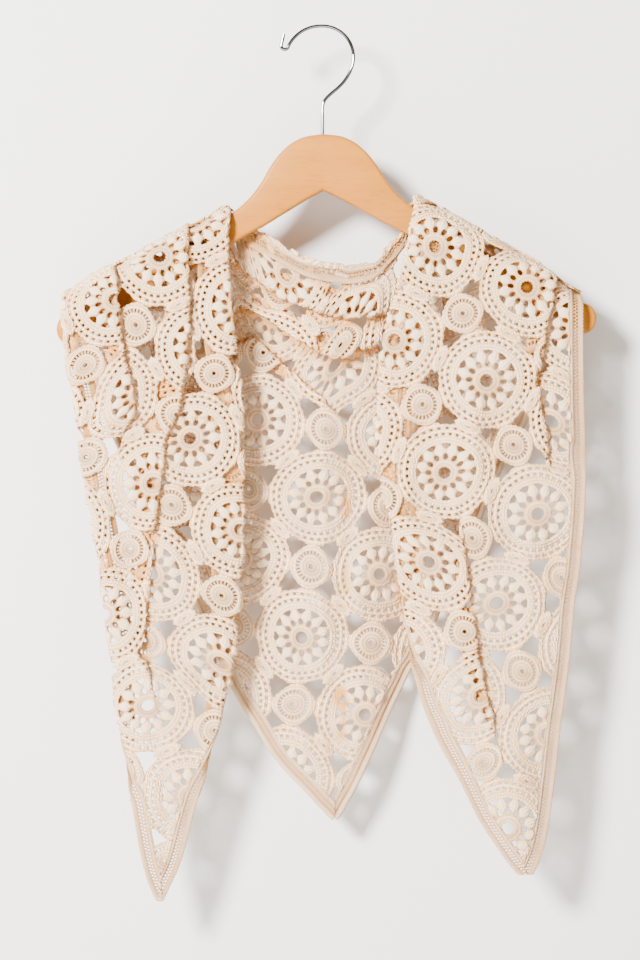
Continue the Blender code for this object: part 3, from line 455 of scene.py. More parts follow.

# Yarn: its colour in the light, its painted shade in crevices, its deeper painted shade under other cloth,
# its stitches' slant and their relief in metres
Yarn = namedtuple("Yarn", "light shade deep chevron depth")
LACE_YARN = Yarn((0.99, 0.77, 0.50), (0.78, 0.37, 0.125), (0.76, 0.315, 0.062), 0.5, 0.0017)
EDGING_YARN = Yarn((0.97, 0.74, 0.49), (0.72, 0.35, 0.125), (0.74, 0.31, 0.062), 1.6, 0.0017)

# Shares of posts, plies and fibres in the yarn's relief, and shares of proud rounds, posts, plies, fibres
# and patches in its painted light: proud rounds, posts and plies are painted lighter and the grooves between
# them in painted shade, while fibres and patches vary its tone at random; then the values between which it
# goes from painted shade to painted light or to the deeper painted shade under other cloth
RELIEF_SHARES = (0.40, 0.35, 0.90)
LIGHT_SHARES = (0.45, 0.18, 0.14, 0.45, 0.25)
PLY_PITCH = 1.3
PROUD_RANGE = (-0.2, 0.7)
LIGHT_RANGE = (0.50, 1.05)
SHELTER_SHADE_RANGE = (0.07, 0.62)
DEEPEST_SHADE = 0.90
YARN_BUMP = 0.9

# Noise: how fine it is for a metre, and its detail
Noise = namedtuple("Noise", "scale detail")
FIBRES = Noise(900.0, 4.0)
PATCHES = Noise(45.0, 3.0)
BROAD_GRAIN = Noise(1.6, 4.0)
FINE_GRAIN = Noise(1.0, 2.0)
WEAR = Noise(260.0, 3.0)

# Wood: colours, how far grain is drawn out along X, the noise that makes a fleck, what bands and flecks
# count for in the colour, how rough it is beside and on a fleck, and the grain's relief in metres
WOOD_LIGHT = (0.36, 0.135, 0.009)
WOOD_DARK = (0.22, 0.06, 0.003)
BAND_STRETCH = (6.0, 60.0, 60.0)
FLECK_STRETCH = (70.0, 700.0, 700.0)
FLECK_RANGE = (0.56, 0.72)
WOOD_SHARES = (0.75, 0.35)
WOOD_ROUGHNESS = (0.40, 0.52)
WOOD_BUMP = 0.25
WOOD_RELIEF = 0.0002

# Plating: its colour where it faces the eye, the painted dark reflection towards its edges and its colour at
# a glancing angle, the facing values between which the painted reflection darkens it, and its roughness from
# clean to worn
CHROME = (0.24, 0.24, 0.25)
CHROME_PAINTED_REFLECTION = (0.004, 0.004, 0.0045)
CHROME_RIM = (0.05, 0.05, 0.052)
PAINTED_REFLECTION_FACING = (0.02, 0.20)
CHROME_ROUGHNESS = (0.05, 0.12)

WALL_COLOUR = (0.535, 0.515, 0.49)
FLOOR_COLOUR = (0.82, 0.81, 0.80)

# Photographed view, stage and lights. A light has its place, size, watts and colour, and the room's even
# light its colour and strength.
CAMERA_PLACE = (-2.1, -2200.0, -373.6)
CAMERA_LENS = 99.9
CAMERA_SENSOR = 36.0
CAMERA_FAR = 30.0
WALL_Y = 54.0
STAGE_HALF = 2600.0
FLOOR_Z = -900.0
Light = namedtuple("Light", "name x y z size power red green blue")
LIGHTS = [
    Light("window", -1250, -2150, 550, 600, 520.0, 0.95, 0.975, 1.0),
    Light("fill", 1900, -1700, -300, 1800, 10.0, 1.0, 0.86, 0.72),
    Light("behind", 300, 1900, 700, 1500, 85.0, 1.0, 0.88, 0.76),
]
LIGHT_AIM = (0.0, 0.0, -380.0)
ROOM_LIGHT = (1.0, 0.84, 0.70, 0.46)


def smooth_table(rows, key, field, at):
    """A column of a table as a smooth curve through its rows (cubic, flat-limited slopes)."""
    rows = sorted(rows, key=lambda row: getattr(row, key))
    knots = np.array([getattr(row, key) for row in rows], float)
    values = np.array([getattr(row, field) for row in rows], float)
    steps = np.diff(knots)
    rises = np.diff(values) / steps
    slopes = np.zeros(len(knots))
    same = rises[:-1] * rises[1:] > 0
    weight_a = 2 * steps[1:] + steps[:-1]
    weight_b = steps[1:] + 2 * steps[:-1]
    safe_a = np.where(same, rises[:-1], 1.0)
    safe_b = np.where(same, rises[1:], 1.0)
    slopes[1:-1] = np.where(same, (weight_a + weight_b) / (weight_a / safe_a + weight_b / safe_b), 0.0)
    slopes[0], slopes[-1] = rises[0], rises[-1]
    at = np.clip(np.asarray(at, float), knots[0], knots[-1])
    i = np.clip(np.searchsorted(knots, at) - 1, 0, len(steps) - 1)
    t = (at - knots[i]) / steps[i]
    return ((1 + 2 * t) * (1 - t) ** 2 * values[i] + t * (1 - t) ** 2 * steps[i] * slopes[i]
            + t * t * (3 - 2 * t) * values[i + 1] - t * t * (1 - t) * steps[i] * slopes[i + 1])


def arm_top(x):
    """Height of the upper edge of the hanger's arm over x."""
    return HANGER_TOP_Z - NECK_DROP - (np.abs(x) - NECK_HALF_WIDTH) * ARM_SLOPE + x * math.tan(HANGER_TILT)


def waved(waves, x, z):
    """Sum of some waves at x and z."""
    return sum(wave.height * np.sin(x / wave.across + z / wave.down + wave.start) for wave in waves)


def soft_wave(x, z):
    """Slow, uneven waves of hanging cloth, in y."""
    lower = 1 / (1 + np.exp((z - WAVES_BELOW) / WAVES_EASE))
    return lower * waved(CLOTH_WAVES, x, z)


def creased(creases, x, z):
    """How far the main creases move the cloth in y: soft, a little bent and uneven troughs and ridges."""
    y = np.zeros(len(x))
    for crease in creases:
        run, rise = crease.x2 - crease.x1, crease.z2 - crease.z1
        length = math.hypot(run, rise)
        along = ((x - crease.x1) * run + (z - crease.z1) * rise) / length
        across = ((x - crease.x1) * rise - (z - crease.z1) * run) / length
        across = across + CREASE_BEND * np.sin(along / BEND_WAVE + crease.x1)
        width = crease.width * (1 + WIDTH_CHANGE * np.sin(along / WIDTH_WAVE + crease.x2))
        strength = np.sin(np.clip(along / length, 0, 1) * math.pi)
        y += crease.depth * strength * np.exp(-(across / width) ** 2)
    return y


def fold_strength(under):
    """1 for a whole fold, less where it runs out."""
    return min(1.0, under / FULL_PLEAT)


def tuck_strength(tuck):
    """1 where the cloth's edge is turned under, 0 where it lies flat."""
    share = min(1.0, max(0.0, tuck / FULL_TUCK))
    return share * share * (3 - 2 * share)


def folded_line(turns, depths, anchor_run, end_round=FOLD_ROUND):
    """Points (run direction, y, arc) of a line that goes from turn to turn at the given depths.

    The arc is shifted so that it equals the place along the line on the anchor run.
    """
    control = []
    for k, depth in enumerate(depths):
        start, end = turns[k], turns[k + 1]
        step = RUN_SHARE * (end - start)
        last = end_round if k == len(depths) - 2 else FOLD_ROUND
        near = math.copysign(min(abs(step), FOLD_ROUND), step)
        far = math.copysign(min(abs(step), last), step)
        control += [(start, depth), (start + near, depth), (end - far, depth), (end, depth)]
    control = np.array(control, float)
    pad = np.vstack([2 * control[0] - control[1], control, 2 * control[-1] - control[-2]])
    fractions = np.arange(LINE_SAMPLES) / LINE_SAMPLES
    points = []
    for i in range(len(control)):
        before, here, after = pad[i], pad[i + 1], pad[i + 2]
        left, right = (before + here) / 2, (here + after) / 2
        for t in fractions:
            points.append((1 - t) ** 2 * left + 2 * t * (1 - t) * here + t * t * right)
    points.append((pad[-1] + pad[-2]) / 2)
    points = np.array(points[LINE_SAMPLES // 2:-(LINE_SAMPLES // 2)])
    arc = np.concatenate([[0], np.cumsum(np.hypot(*np.diff(points, axis=0).T))])
    anchor = run_sample(anchor_run, MIDDLE)
    arc += points[anchor, 0] - arc[anchor]
    return np.column_stack([points, arc])


def run_sample(run, part):
    """Sample number on a line; part counts the run's four control points."""
    return int(round((4 * run + part) * LINE_SAMPLES))


def blended(grid, row, column):
    """Values of a grid between its rows and columns."""
    i = np.minimum(row.astype(int), grid.shape[0] - 2)
    j = np.minimum(column.astype(int), grid.shape[1] - 2)
    u, v = (row - i)[:, None], (column - j)[:, None]
    return ((1 - u) * ((1 - v) * grid[i, j] + v * grid[i, j + 1])
            + u * ((1 - v) * grid[i + 1, j] + v * grid[i + 1, j + 1]))


class Stretch:
    """A stretch of cloth, tabulated line by line over flat coordinates.

    line_at(place) gives one line. The first flat coordinate of a tail is its arc and the second its
    level; the back has them the other way round.
    """

    def __init__(self, line_at, places, upright):
        self.places = np.array(places)
        self.upright = upright
        self.creases = []
        # How closely cloth and wood crowd the stretch, which sets its painted deep shade
        self.shelter = None
        lines = [line_at(place) for place in places]
        self.lines = np.array(lines)
        self.low = self.lines[:, 0, 2]
        self.high = self.lines[:, -1, 2]
        self.first_arc = self.low.min() - ARCS_BEFORE * ARC_STEP
        count = int((self.high.max() - self.first_arc) / ARC_STEP) + ARCS_BEFORE + ARCS_AFTER
        arcs = self.first_arc + ARC_STEP * np.arange(count)
        self.table = np.zeros((len(places), count, 2))
        for i, line in enumerate(lines):
            for c in (0, 1):
                column = np.interp(arcs, line[:, 2], line[:, c])
                for end, inward, edge in ((0, 1, arcs < line[0, 2]), (-1, -1, arcs > line[-1, 2])):
                    nearby = np.interp(line[end, 2] + inward, line[:, 2], line[:, c])
                    rate = (nearby - line[end, c]) * inward
                    column = np.where(edge, line[end, c] + (arcs - line[end, 2]) * rate, column)
                self.table[i, :, c] = column

    def between(self, values, place):
        """A value of the lines, such as where they start, at a place between them."""
        return np.interp(place, self.places, values)

    def place_and_arc(self, flat):
        """The two flat coordinates, with the line's place first."""
        return (flat[:, 0], flat[:, 1]) if self.upright else (flat[:, 1], flat[:, 0])

    def lookup(self, place, arc):
        """Place along the line and y, for arrays of places and arcs."""
        row = np.interp(place, self.places, np.arange(len(self.places)))
        column = np.clip((arc - self.first_arc) / ARC_STEP, 0, self.table.shape[1] - 1.001)
        return blended(self.table, row, column)

    def surface(self, flat):
        """Points in space of flat points (n, 2)."""
        flat = np.asarray(flat, float)
        place, arc = self.place_and_arc(flat)
        found, y = self.lookup(place, arc).T
        x, z = (place, found) if self.upright else (found, place)
        y = y + soft_wave(x, z) + creased(self.creases, x, z)
        if not self.upright:
            base = arm_top(x) - CROWN_Z
            climb = np.maximum(z - base, 0)
            angle = np.minimum(climb / (crest_length(y) / (math.pi / 2)), math.pi / 2)
            z = np.where(climb > 0, base + CREST_FLATNESS * np.abs(y) * np.sin(angle), z)
            y = y * np.cos(angle)
        return np.column_stack([x, y, z])

    def normals(self, flat):
        """Directions square to the surface at flat points, towards the viewer where it lies plain."""
        flat = np.asarray(flat, float)
        along = self.surface(flat + (NORMAL_STEP, 0)) - self.surface(flat - (NORMAL_STEP, 0))
        up = self.surface(flat + (0, NORMAL_STEP)) - self.surface(flat - (0, NORMAL_STEP))
        normal = np.cross(along, up)
        return normal / np.maximum(np.linalg.norm(normal, axis=1, keepdims=True), 1e-9)


def crest_length(y):
    """Length of cloth from the crown line of the arm up to the crest, for a layer at depth y."""
    return np.maximum(0.5 * (1 + CREST_FLATNESS) * np.abs(y) * math.pi / 2, 1.0)


def tail_line(levels, z):
    """A level section of a tail: low tuck, three layers with two folds between, high tuck."""
    value = {field: float(smooth_table(levels, "z", field, z)) for field in Level._fields}
    first = fold_strength(value["under_1"])
    second = fold_strength(value["under_2"])
    depth = value["depth"]
    middle = depth + 2 * PLEAT_PITCH * first
    last = middle + 2 * PLEAT_PITCH * second
    low_side = tuck_strength(value["low_tuck"])
    high_side = tuck_strength(value["high_tuck"])
    turns = [value["low"] + value["low_tuck"], value["low"], value["fold_1"],
             value["fold_1"] - value["under_1"], value["fold_2"], value["fold_2"] - value["under_2"],
             value["high"], value["high"] - value["high_tuck"]]
    depths = [depth + PLEAT_PITCH * low_side, depth, depth + PLEAT_PITCH * first, middle,
              middle + PLEAT_PITCH * second, last, last + PLEAT_PITCH * high_side]
    line = folded_line(turns, depths, TAIL_ANCHOR)
    half = (value["high"] - value["low"]) / 2
    across = (line[:, 0] - value["low"] - half) / max(half, 1.0)
    line[:, 1] += value["bow"] * (across ** 2 - 0.5)
    return line


def back_line(x):
    """An upright line of the back, from the hem up to the neck edge or the arm's crest."""
    value = {field: float(smooth_table(BACK_COLUMNS, "x", field, x)) for field in Column._fields}
    lap = fold_strength(value["lap_under"])
    low = fold_strength(value["low_under"])
    high = fold_strength(value["high_under"])
    front = value["front"]
    middle = front + 2 * PLEAT_PITCH * high
    recess = middle + 2 * PLEAT_PITCH * low
    panel = recess - 2 * PLEAT_PITCH * lap
    turns = [value["hem"], value["lap"], value["lap"] - value["lap_under"],
             value["low_swag"] + value["low_under"], value["low_swag"],
             value["high_swag"] + value["high_under"], value["high_swag"],
             value["top"], value["top"] - value["roll"]]
    depths = [panel, panel + PLEAT_PITCH * lap, recess, recess - PLEAT_PITCH * low, middle,
              middle - PLEAT_PITCH * high, front, value["roll_y"] + GAP]
    return folded_line(turns, depths, 0, CREST_ROUND)


def edge_stretch(stretch, place, side):
    """How much longer a width is along the line than square to the edge, where the edge is steep."""
    ends = stretch.low if side == "low" else stretch.high
    rise = stretch.between(ends, place + EDGE_RUN) - stretch.between(ends, place - EDGE_RUN)
    slope = rise / (2 * EDGE_RUN)
    return math.sqrt(1 + min(slope * slope, STEEPEST))


def edging_width(stretch, place, side):
    """Width of the edging measured along the line at a place, up to the middle of a narrow line."""
    span = stretch.between(stretch.high, place) - stretch.between(stretch.low, place)
    return min(TRIM_WIDTH * edge_stretch(stretch, place, side), span / 2 - GAP / 2)


def level_of(stretch, arc_at, low, over_crest):
    """Level at which a column of a tail reaches the arm's crown line, or the crest over it."""
    high = TAIL_TOP
    for _ in range(CREST_HALVINGS):
        z = (low + high) / 2
        x, y = stretch.lookup(np.array([z]), np.array([arc_at(z)]))[0]
        top = arm_top(x) - CROWN_Z
        if over_crest:
            top += crest_length(y + soft_wave(x, z)) - GAP / 2
        if z < top:
            low = z
        else:
            high = z
    return low


def hook_route():
    """Centreline of the wire: shank, bend, round crown and an eased, curled end."""
    centre_z = WIRE / 2 - HOOK_RADIUS
    bend_z = SHANK_BEND_Z - BEND_RUN
    route = [(0.0, z) for z in np.linspace(HANGER_TOP_Z - BORE_DEPTH + BORE_ROOM, bend_z, SHANK_STEPS)]
    side = math.radians(HOOK_START)
    start = np.array([HOOK_RADIUS * math.cos(side), centre_z + HOOK_RADIUS * math.sin(side)])
    lead = np.array([-math.sin(side), math.cos(side)])
    ends = np.array([(0.0, bend_z), (0.0, SHANK_BEND_Z + BEND_PULL), start - BEND_LEAD * lead, start])
    for t in np.linspace(0, 1, BEND_STEPS)[1:-1]:
        weights = ((1 - t) ** 3, 3 * t * (1 - t) ** 2, 3 * t * t * (1 - t), t ** 3)
        route.append(tuple(sum(w * p for w, p in zip(weights, ends))))
    for degrees in np.linspace(HOOK_START, HOOK_END, CROWN_STEPS):
        angle = math.radians(degrees)
        past_top = max(0.0, (degrees - HOOK_TOP) / (HOOK_END - HOOK_TOP))
        radius = HOOK_RADIUS + HOOK_EASE * past_top ** EASE_POWER
        route.append((radius * math.cos(angle), centre_z + radius * math.sin(angle)))
    x, z = route[-1]
    for degrees in np.linspace(0, CURL_TURN, CURL_STEPS)[1:]:
        angle = math.radians(degrees)
        route.append((x - CURL_RADIUS + CURL_RADIUS * math.cos(angle), z + CURL_RADIUS * math.sin(angle)))
    x, z = route[-1]
    aside, up = CURL_LEAN
    route += [(x + aside * CURL_TAIL * t, z + up * CURL_TAIL * t) for t in TAIL_PLACES]
    return route


def open_stitch_places(number, repeat, first, holes, width):
    """Where stitch number starts, in stitches, when the open ones in a repeat are so wide."""
    if repeat == 1 or holes == 0:
        return float(number)
    base = (number - first) // repeat * repeat + first
    local = number - base
    centre = holes / 2
    if local <= holes:
        return base + centre - width / 2 + width * local / holes
    return base + centre + width / 2 + (repeat - width) * (local - holes) / (repeat - holes)


def puff_lift(x, y):
    """How far the puffs stand proud at a point of a large rosette."""
    angle = math.atan2(y, x) / (2 * math.pi) * LARGE_STITCHES
    middle = round((angle - PUFF_MIDDLE) / PUFF_REPEAT) * PUFF_REPEAT + PUFF_MIDDLE
    turn = middle / LARGE_STITCHES * 2 * math.pi
    away = math.hypot(x - PUFF_RING * math.cos(turn), y - PUFF_RING * math.sin(turn)) / PUFF_RADIUS
    return PUFF_LIFT * math.sqrt(max(0.0, 1 - away * away))


def flat_crochet(name, points, halves, quads, stitches):
    """A flat single layer of crochet; its points' height is the lift, and half is stored on them."""
    mesh = bpy.data.meshes.new(name)
    mesh.from_pydata(points, [], quads)
    thickness = mesh.attributes.new("half", "FLOAT", "POINT")
    thickness.data.foreach_set("value", halves)
    layer = mesh.uv_layers.new(name="stitches")
    layer.data.foreach_set("uv", np.array(stitches, float).ravel())
    return linked(name, mesh)


def rosette(name, rounds, stitches, length, with_puffs):
    """A flat crocheted rosette, made longer along X by a factor."""
    points, halves, quads, uv = [], [], [], []
    for ring in rounds:
        for k in range(stitches):
            share = ring.width / (2 * math.pi * ring.r) * stitches
            place = open_stitch_places(k, ring.repeat, ring.first, ring.holes, share)
            angle = place / stitches * 2 * math.pi
            scallop = EDGE_SCALLOP * (-1) ** k if ring is rounds[-1] else 0.0
            r = ring.r + ring.wave * math.cos(ring.waves * angle) + scallop
            x, y = r * math.cos(angle) * length, r * math.sin(angle)
            lift = ring.lift
            if with_puffs:
                lift = max(lift, puff_lift(x, y))
            points.append((x, y, lift))
            halves.append(ring.half)
    for i, (ring, outer) in enumerate(zip(rounds[:-1], rounds[1:])):
        for k in range(stitches):
            if ring.open and (k - ring.first) % ring.repeat < ring.holes:
                continue
            after = (k + 1) % stitches
            quads.append((i * stitches + k, (i + 1) * stitches + k, (i + 1) * stitches + after,
                          i * stitches + after))
            uv += [(k, ring.r), (k, outer.r), (k + 1, outer.r), (k + 1, ring.r)]
    return flat_crochet(name, points, halves, quads, uv)


def edging_repeat(name, rows):
    """One repeat of an edging, its free edge along +X and its width along +Y."""
    points, halves, quads, uv = [], [], [], []
    marks = EDGING_STITCHES + 1
    pitch = EDGING_REPEAT / EDGING_STITCHES
    for number, row in enumerate(rows):
        for k in range(marks):
            place = open_stitch_places(k, EDGING_STITCHES, row.first, row.holes, row.width / pitch)
            wave = row.wave * math.cos(k * math.pi)
            points.append((place * pitch, row.t + wave, row.lift + STITCH_RISE * (-1) ** (number + k)))
            halves.append(row.half)
    for i, (row, inner) in enumerate(zip(rows[:-1], rows[1:])):
        for k in range(EDGING_STITCHES):
            if row.open and (k - row.first) % EDGING_STITCHES < row.holes:
                continue
            quads.append((i * marks + k, i * marks + k + 1, (i + 1) * marks + k + 1, (i + 1) * marks + k))
            uv += [(k, row.t), (k + 1, row.t), (k + 1, inner.t), (k, inner.t)]
    return flat_crochet(name, points, halves, quads, uv)


def solid_shapes():
    """All solids as one tree for rays."""
    points, faces = [], []
    for item in bpy.context.scene.objects:
        if item.type == "MESH":
            base = len(points)
            points += [item.matrix_world @ vertex.co for vertex in item.data.vertices]
            faces += [[base + i for i in polygon.vertices] for polygon in item.data.polygons]
    return BVHTree.FromPolygons(points, faces)


def taken_share(solids, starts, outwards, side, up, fans):
    """Share of some fans of rays that meets cloth or wood, nearer ones counting for more."""
    found = np.zeros(len(starts))
    for fan in fans:
        for turn in np.radians(np.linspace(fan.start, fan.end, fan.rays)):
            rays = outwards + fan.lean * (math.cos(turn) * side + math.sin(turn) * up)
            for i, (start, ray) in enumerate(zip(starts.tolist(), rays.tolist())):
                distance = solids.ray_cast(start, ray, SHELTER_REACH * MM)[3]
                if distance is not None and distance > SHELTER_NEAR * MM:
                    found[i] += 1 - distance / (SHELTER_REACH * MM)
    return found / sum(fan.rays for fan in fans)


def shelter_shade_table(stretch, solids):
    """How much of the open air in front of and behind a stretch is taken by cloth and wood near it, for
    painted shade.
    """
    places = stretch.places[::SHELTER_SKIP]
    arcs = np.arange(stretch.low.min(), stretch.high.max() + SHELTER_STEP, SHELTER_STEP)
    grid = np.stack(np.meshgrid(places, arcs, indexing="ij"), axis=-1).reshape(-1, 2)
    flat = grid if stretch.upright else grid[:, ::-1]
    middle, normal = stretch.surface(flat), stretch.normals(flat)
    side = np.cross(normal, (0.0, 0.0, 1.0))
    side /= np.maximum(np.linalg.norm(side, axis=1, keepdims=True), 1e-6)
    up = np.cross(side, normal)
    shares = []
    for face in (1, -1):
        starts = (middle + face * SHELTER_START * normal) * MM
        around, above = (taken_share(solids, starts, face * normal, side, up, fans)
                         for fans in (FANS_AROUND, FANS_ABOVE))
        shares.append(np.maximum(around, ABOVE_SHARE * above).reshape(len(places), len(arcs)))
    return places, arcs, np.stack(shares, axis=-1)


def shelter_shade_at(table, stretch, flat):
    """Looks up how closely cloth and wood crowd flat points in front and behind, for their painted shade."""
    places, arcs, shares = table
    place, arc = stretch.place_and_arc(flat)
    row = np.interp(place, places, np.arange(len(places)))
    column = np.interp(arc, arcs, np.arange(len(arcs)))
    return blended(shares, row, column)


class Nodes:
    """A node tree, made node by node."""

    def __init__(self, tree):
        self.tree = tree

    def node(self, kind, settings=None, **links):
        """A node; links give its inputs by name, as values or as output sockets."""
        made = self.tree.nodes.new(kind)
        for key, value in (settings or {}).items():
            setattr(made, key, value)
        for label, value in links.items():
            self.feed(made, label.replace("_", " "), value)
        return made

    def feed(self, node, label, value):
        """Gives an input, by name or number, a value or what comes out of another node."""
        socket = node.inputs[int(label)] if label.isdigit() else node.inputs[label]
        if isinstance(value, bpy.types.NodeSocket):
            self.tree.links.new(value, socket)
        else:
            socket.default_value = value

    def math(self, operation, first, second=0.0):
        """The result of a sum of two values, either of which may come out of a node."""
        made = self.node("ShaderNodeMath", {"operation": operation})
        self.feed(made, "0", first)
        self.feed(made, "1", second)
        return made.outputs[0]


class Pattern(Nodes):
    """Geometry nodes with named inputs."""

    def __init__(self, name, inputs):
        super().__init__(bpy.data.node_groups.new(name, "GeometryNodeTree"))
        face = self.tree.interface
        face.new_socket("Geometry", in_out="OUTPUT", socket_type="NodeSocketGeometry")
        self.ids = {}
        for label, kind in inputs.items():
            socket = face.new_socket(label, in_out="INPUT", socket_type="NodeSocket" + kind)
            self.ids[label] = socket.identifier
        self.given = self.tree.nodes.new("NodeGroupInput").outputs
        self.result = self.tree.nodes.new("NodeGroupOutput")

    def put(self, unit, points, **placing):
        """Puts the object of an input on points."""
        shape = self.node("GeometryNodeObjectInfo", Object=self.given[unit], As_Instance=True)
        return self.node("GeometryNodeInstanceOnPoints", Points=points, Instance=shape.outputs["Geometry"],
                         **placing).outputs[0]

    def finish(self, *geometry):
        """Joins what is there, realizes it and gives it the material."""
        both = self.node("GeometryNodeJoinGeometry")
        for part in geometry:
            self.tree.links.new(part, both.inputs[0])
        solid = self.node("GeometryNodeRealizeInstances", Geometry=both.outputs[0])
        joined = self.node("GeometryNodeMergeByDistance", Geometry=solid.outputs[0], Distance=MERGE_REACH)
        dyed = self.node("GeometryNodeSetMaterial", Geometry=joined.outputs[0],
                         Material=self.given["Material"])
        self.tree.links.new(dyed.outputs[0], self.result.inputs[0])

    def crochet(self, values):
        """The flat crochet that the pattern gives for these input values."""
        carrier = linked(self.tree.name, bpy.data.meshes.new(self.tree.name))
        modifier = carrier.modifiers.new(self.tree.name, "NODES")
        modifier.node_group = self.tree
        for label, value in values.items():
            modifier[self.ids[label]] = value
        seen = bpy.context.evaluated_depsgraph_get()
        mesh = bpy.data.meshes.new_from_object(carrier.evaluated_get(seen), preserve_all_data_layers=True,
                                               depsgraph=seen)
        carrier.modifiers.remove(modifier)
        bpy.data.objects.remove(carrier, do_unlink=True)
        crochet = read_crochet(mesh)
        bpy.data.meshes.remove(mesh)
        return crochet


def lace_field_tree():
    """A flat square lattice on which large and small rosettes take turns, each turned a little."""
    tree = Pattern("lace_field", {"Pitch": "Float", "Count": "Int", "Turn": "Float", "Size": "Float",
                                  "Seed": "Int", "Large": "Object", "Small": "Object",
                                  "Joint": "Object", "Material": "Material"})
    given = tree.given
    where = tree.node("GeometryNodeInputPosition").outputs[0]

    def grid(side, count):
        """Points of a square grid that keep their places."""
        made = tree.node("GeometryNodeMeshGrid", Size_X=side, Size_Y=side, Vertices_X=count,
                         Vertices_Y=count)
        return tree.node("GeometryNodeStoreNamedAttribute", {"data_type": "FLOAT_VECTOR"},
                         Geometry=made.outputs[0], Name="place", Value=where).outputs[0]

    def uneven(middle, reach):
        """A random number for each point, as far as reach below or above the middle."""
        made = tree.node("FunctionNodeRandomValue", Seed=given["Seed"])
        tree.feed(made, "2", tree.math("SUBTRACT", middle, reach))
        tree.feed(made, "3", tree.math("ADD", middle, reach))
        return made.outputs[1]

    side = tree.math("MULTIPLY", tree.math("SUBTRACT", given["Count"], 1.0), given["Pitch"])
    middles = grid(side, given["Count"])
    odd = tree.math("MODULO", tree.node("GeometryNodeInputIndex").outputs[0], 2.0)
    turned = tree.node("ShaderNodeCombineXYZ", Z=uneven(0.0, given["Turn"])).outputs[0]
    grown = uneven(1.0, given["Size"])
    large = tree.put("Large", middles, Selection=tree.math("LESS_THAN", odd, 0.5), Rotation=turned,
                     Scale=grown)
    small = tree.put("Small", middles, Selection=tree.math("GREATER_THAN", odd, 0.5), Rotation=turned,
                     Scale=grown)
    corners = grid(tree.math("ADD", side, given["Pitch"]), tree.math("ADD", given["Count"], 1.0))
    apart = tree.node("ShaderNodeSeparateXYZ", Vector=where).outputs
    cells = tree.math("DIVIDE", tree.math("ADD", apart[0], apart[1]), given["Pitch"])
    other = tree.math("ROUND", tree.math("FLOORED_MODULO", tree.math("ADD", cells, -1.0), 2.0))
    quarter = tree.math("MULTIPLY", tree.math("SUBTRACT", tree.math("MODULO", other, 2.0), 0.5), math.pi / 2)
    leaning = tree.node("ShaderNodeCombineXYZ", Z=quarter).outputs[0]
    tree.finish(large, small, tree.put("Joint", corners, Rotation=leaning))
    return tree


def edging_tree():
    """Repeats of the edging in a straight row."""
    tree = Pattern("edging_row", {"Repeat": "Float", "Count": "Int", "Unit": "Object",
                                  "Material": "Material"})
    step = tree.node("ShaderNodeCombineXYZ", X=tree.given["Repeat"])
    line = tree.node("GeometryNodeMeshLine", Count=tree.given["Count"], Offset=step.outputs[0])
    tree.finish(tree.put("Unit", line.outputs[0]))
    return tree


Crochet = namedtuple("Crochet", "points quads half uv place")


def read_crochet(mesh):
    """Points, quads and values of a flat mesh as arrays."""
    points = np.zeros(len(mesh.vertices) * 3)
    mesh.vertices.foreach_get("co", points)
    quads = np.zeros(len(mesh.loops), int)
    mesh.loops.foreach_get("vertex_index", quads)
    half = np.zeros(len(mesh.vertices))
    mesh.attributes["half"].data.foreach_get("value", half)
    uv = np.zeros(len(mesh.loops) * 2)
    mesh.uv_layers["stitches"].data.foreach_get("uv", uv)
    place = np.zeros(len(mesh.vertices) * 3)
    if "place" in mesh.attributes:
        mesh.attributes["place"].data.foreach_get("vector", place)
    return Crochet(points.reshape(-1, 3), quads.reshape(-1, 4), half, uv.reshape(-1, 4, 2),
                   place.reshape(-1, 3))


def quad_areas(flat, quads):
    """Areas of flat quads."""
    across = flat[quads[:, 2]] - flat[quads[:, 0]]
    other = flat[quads[:, 3]] - flat[quads[:, 1]]
    return 0.5 * np.abs(across[:, 0] * other[:, 1] - across[:, 1] * other[:, 0])


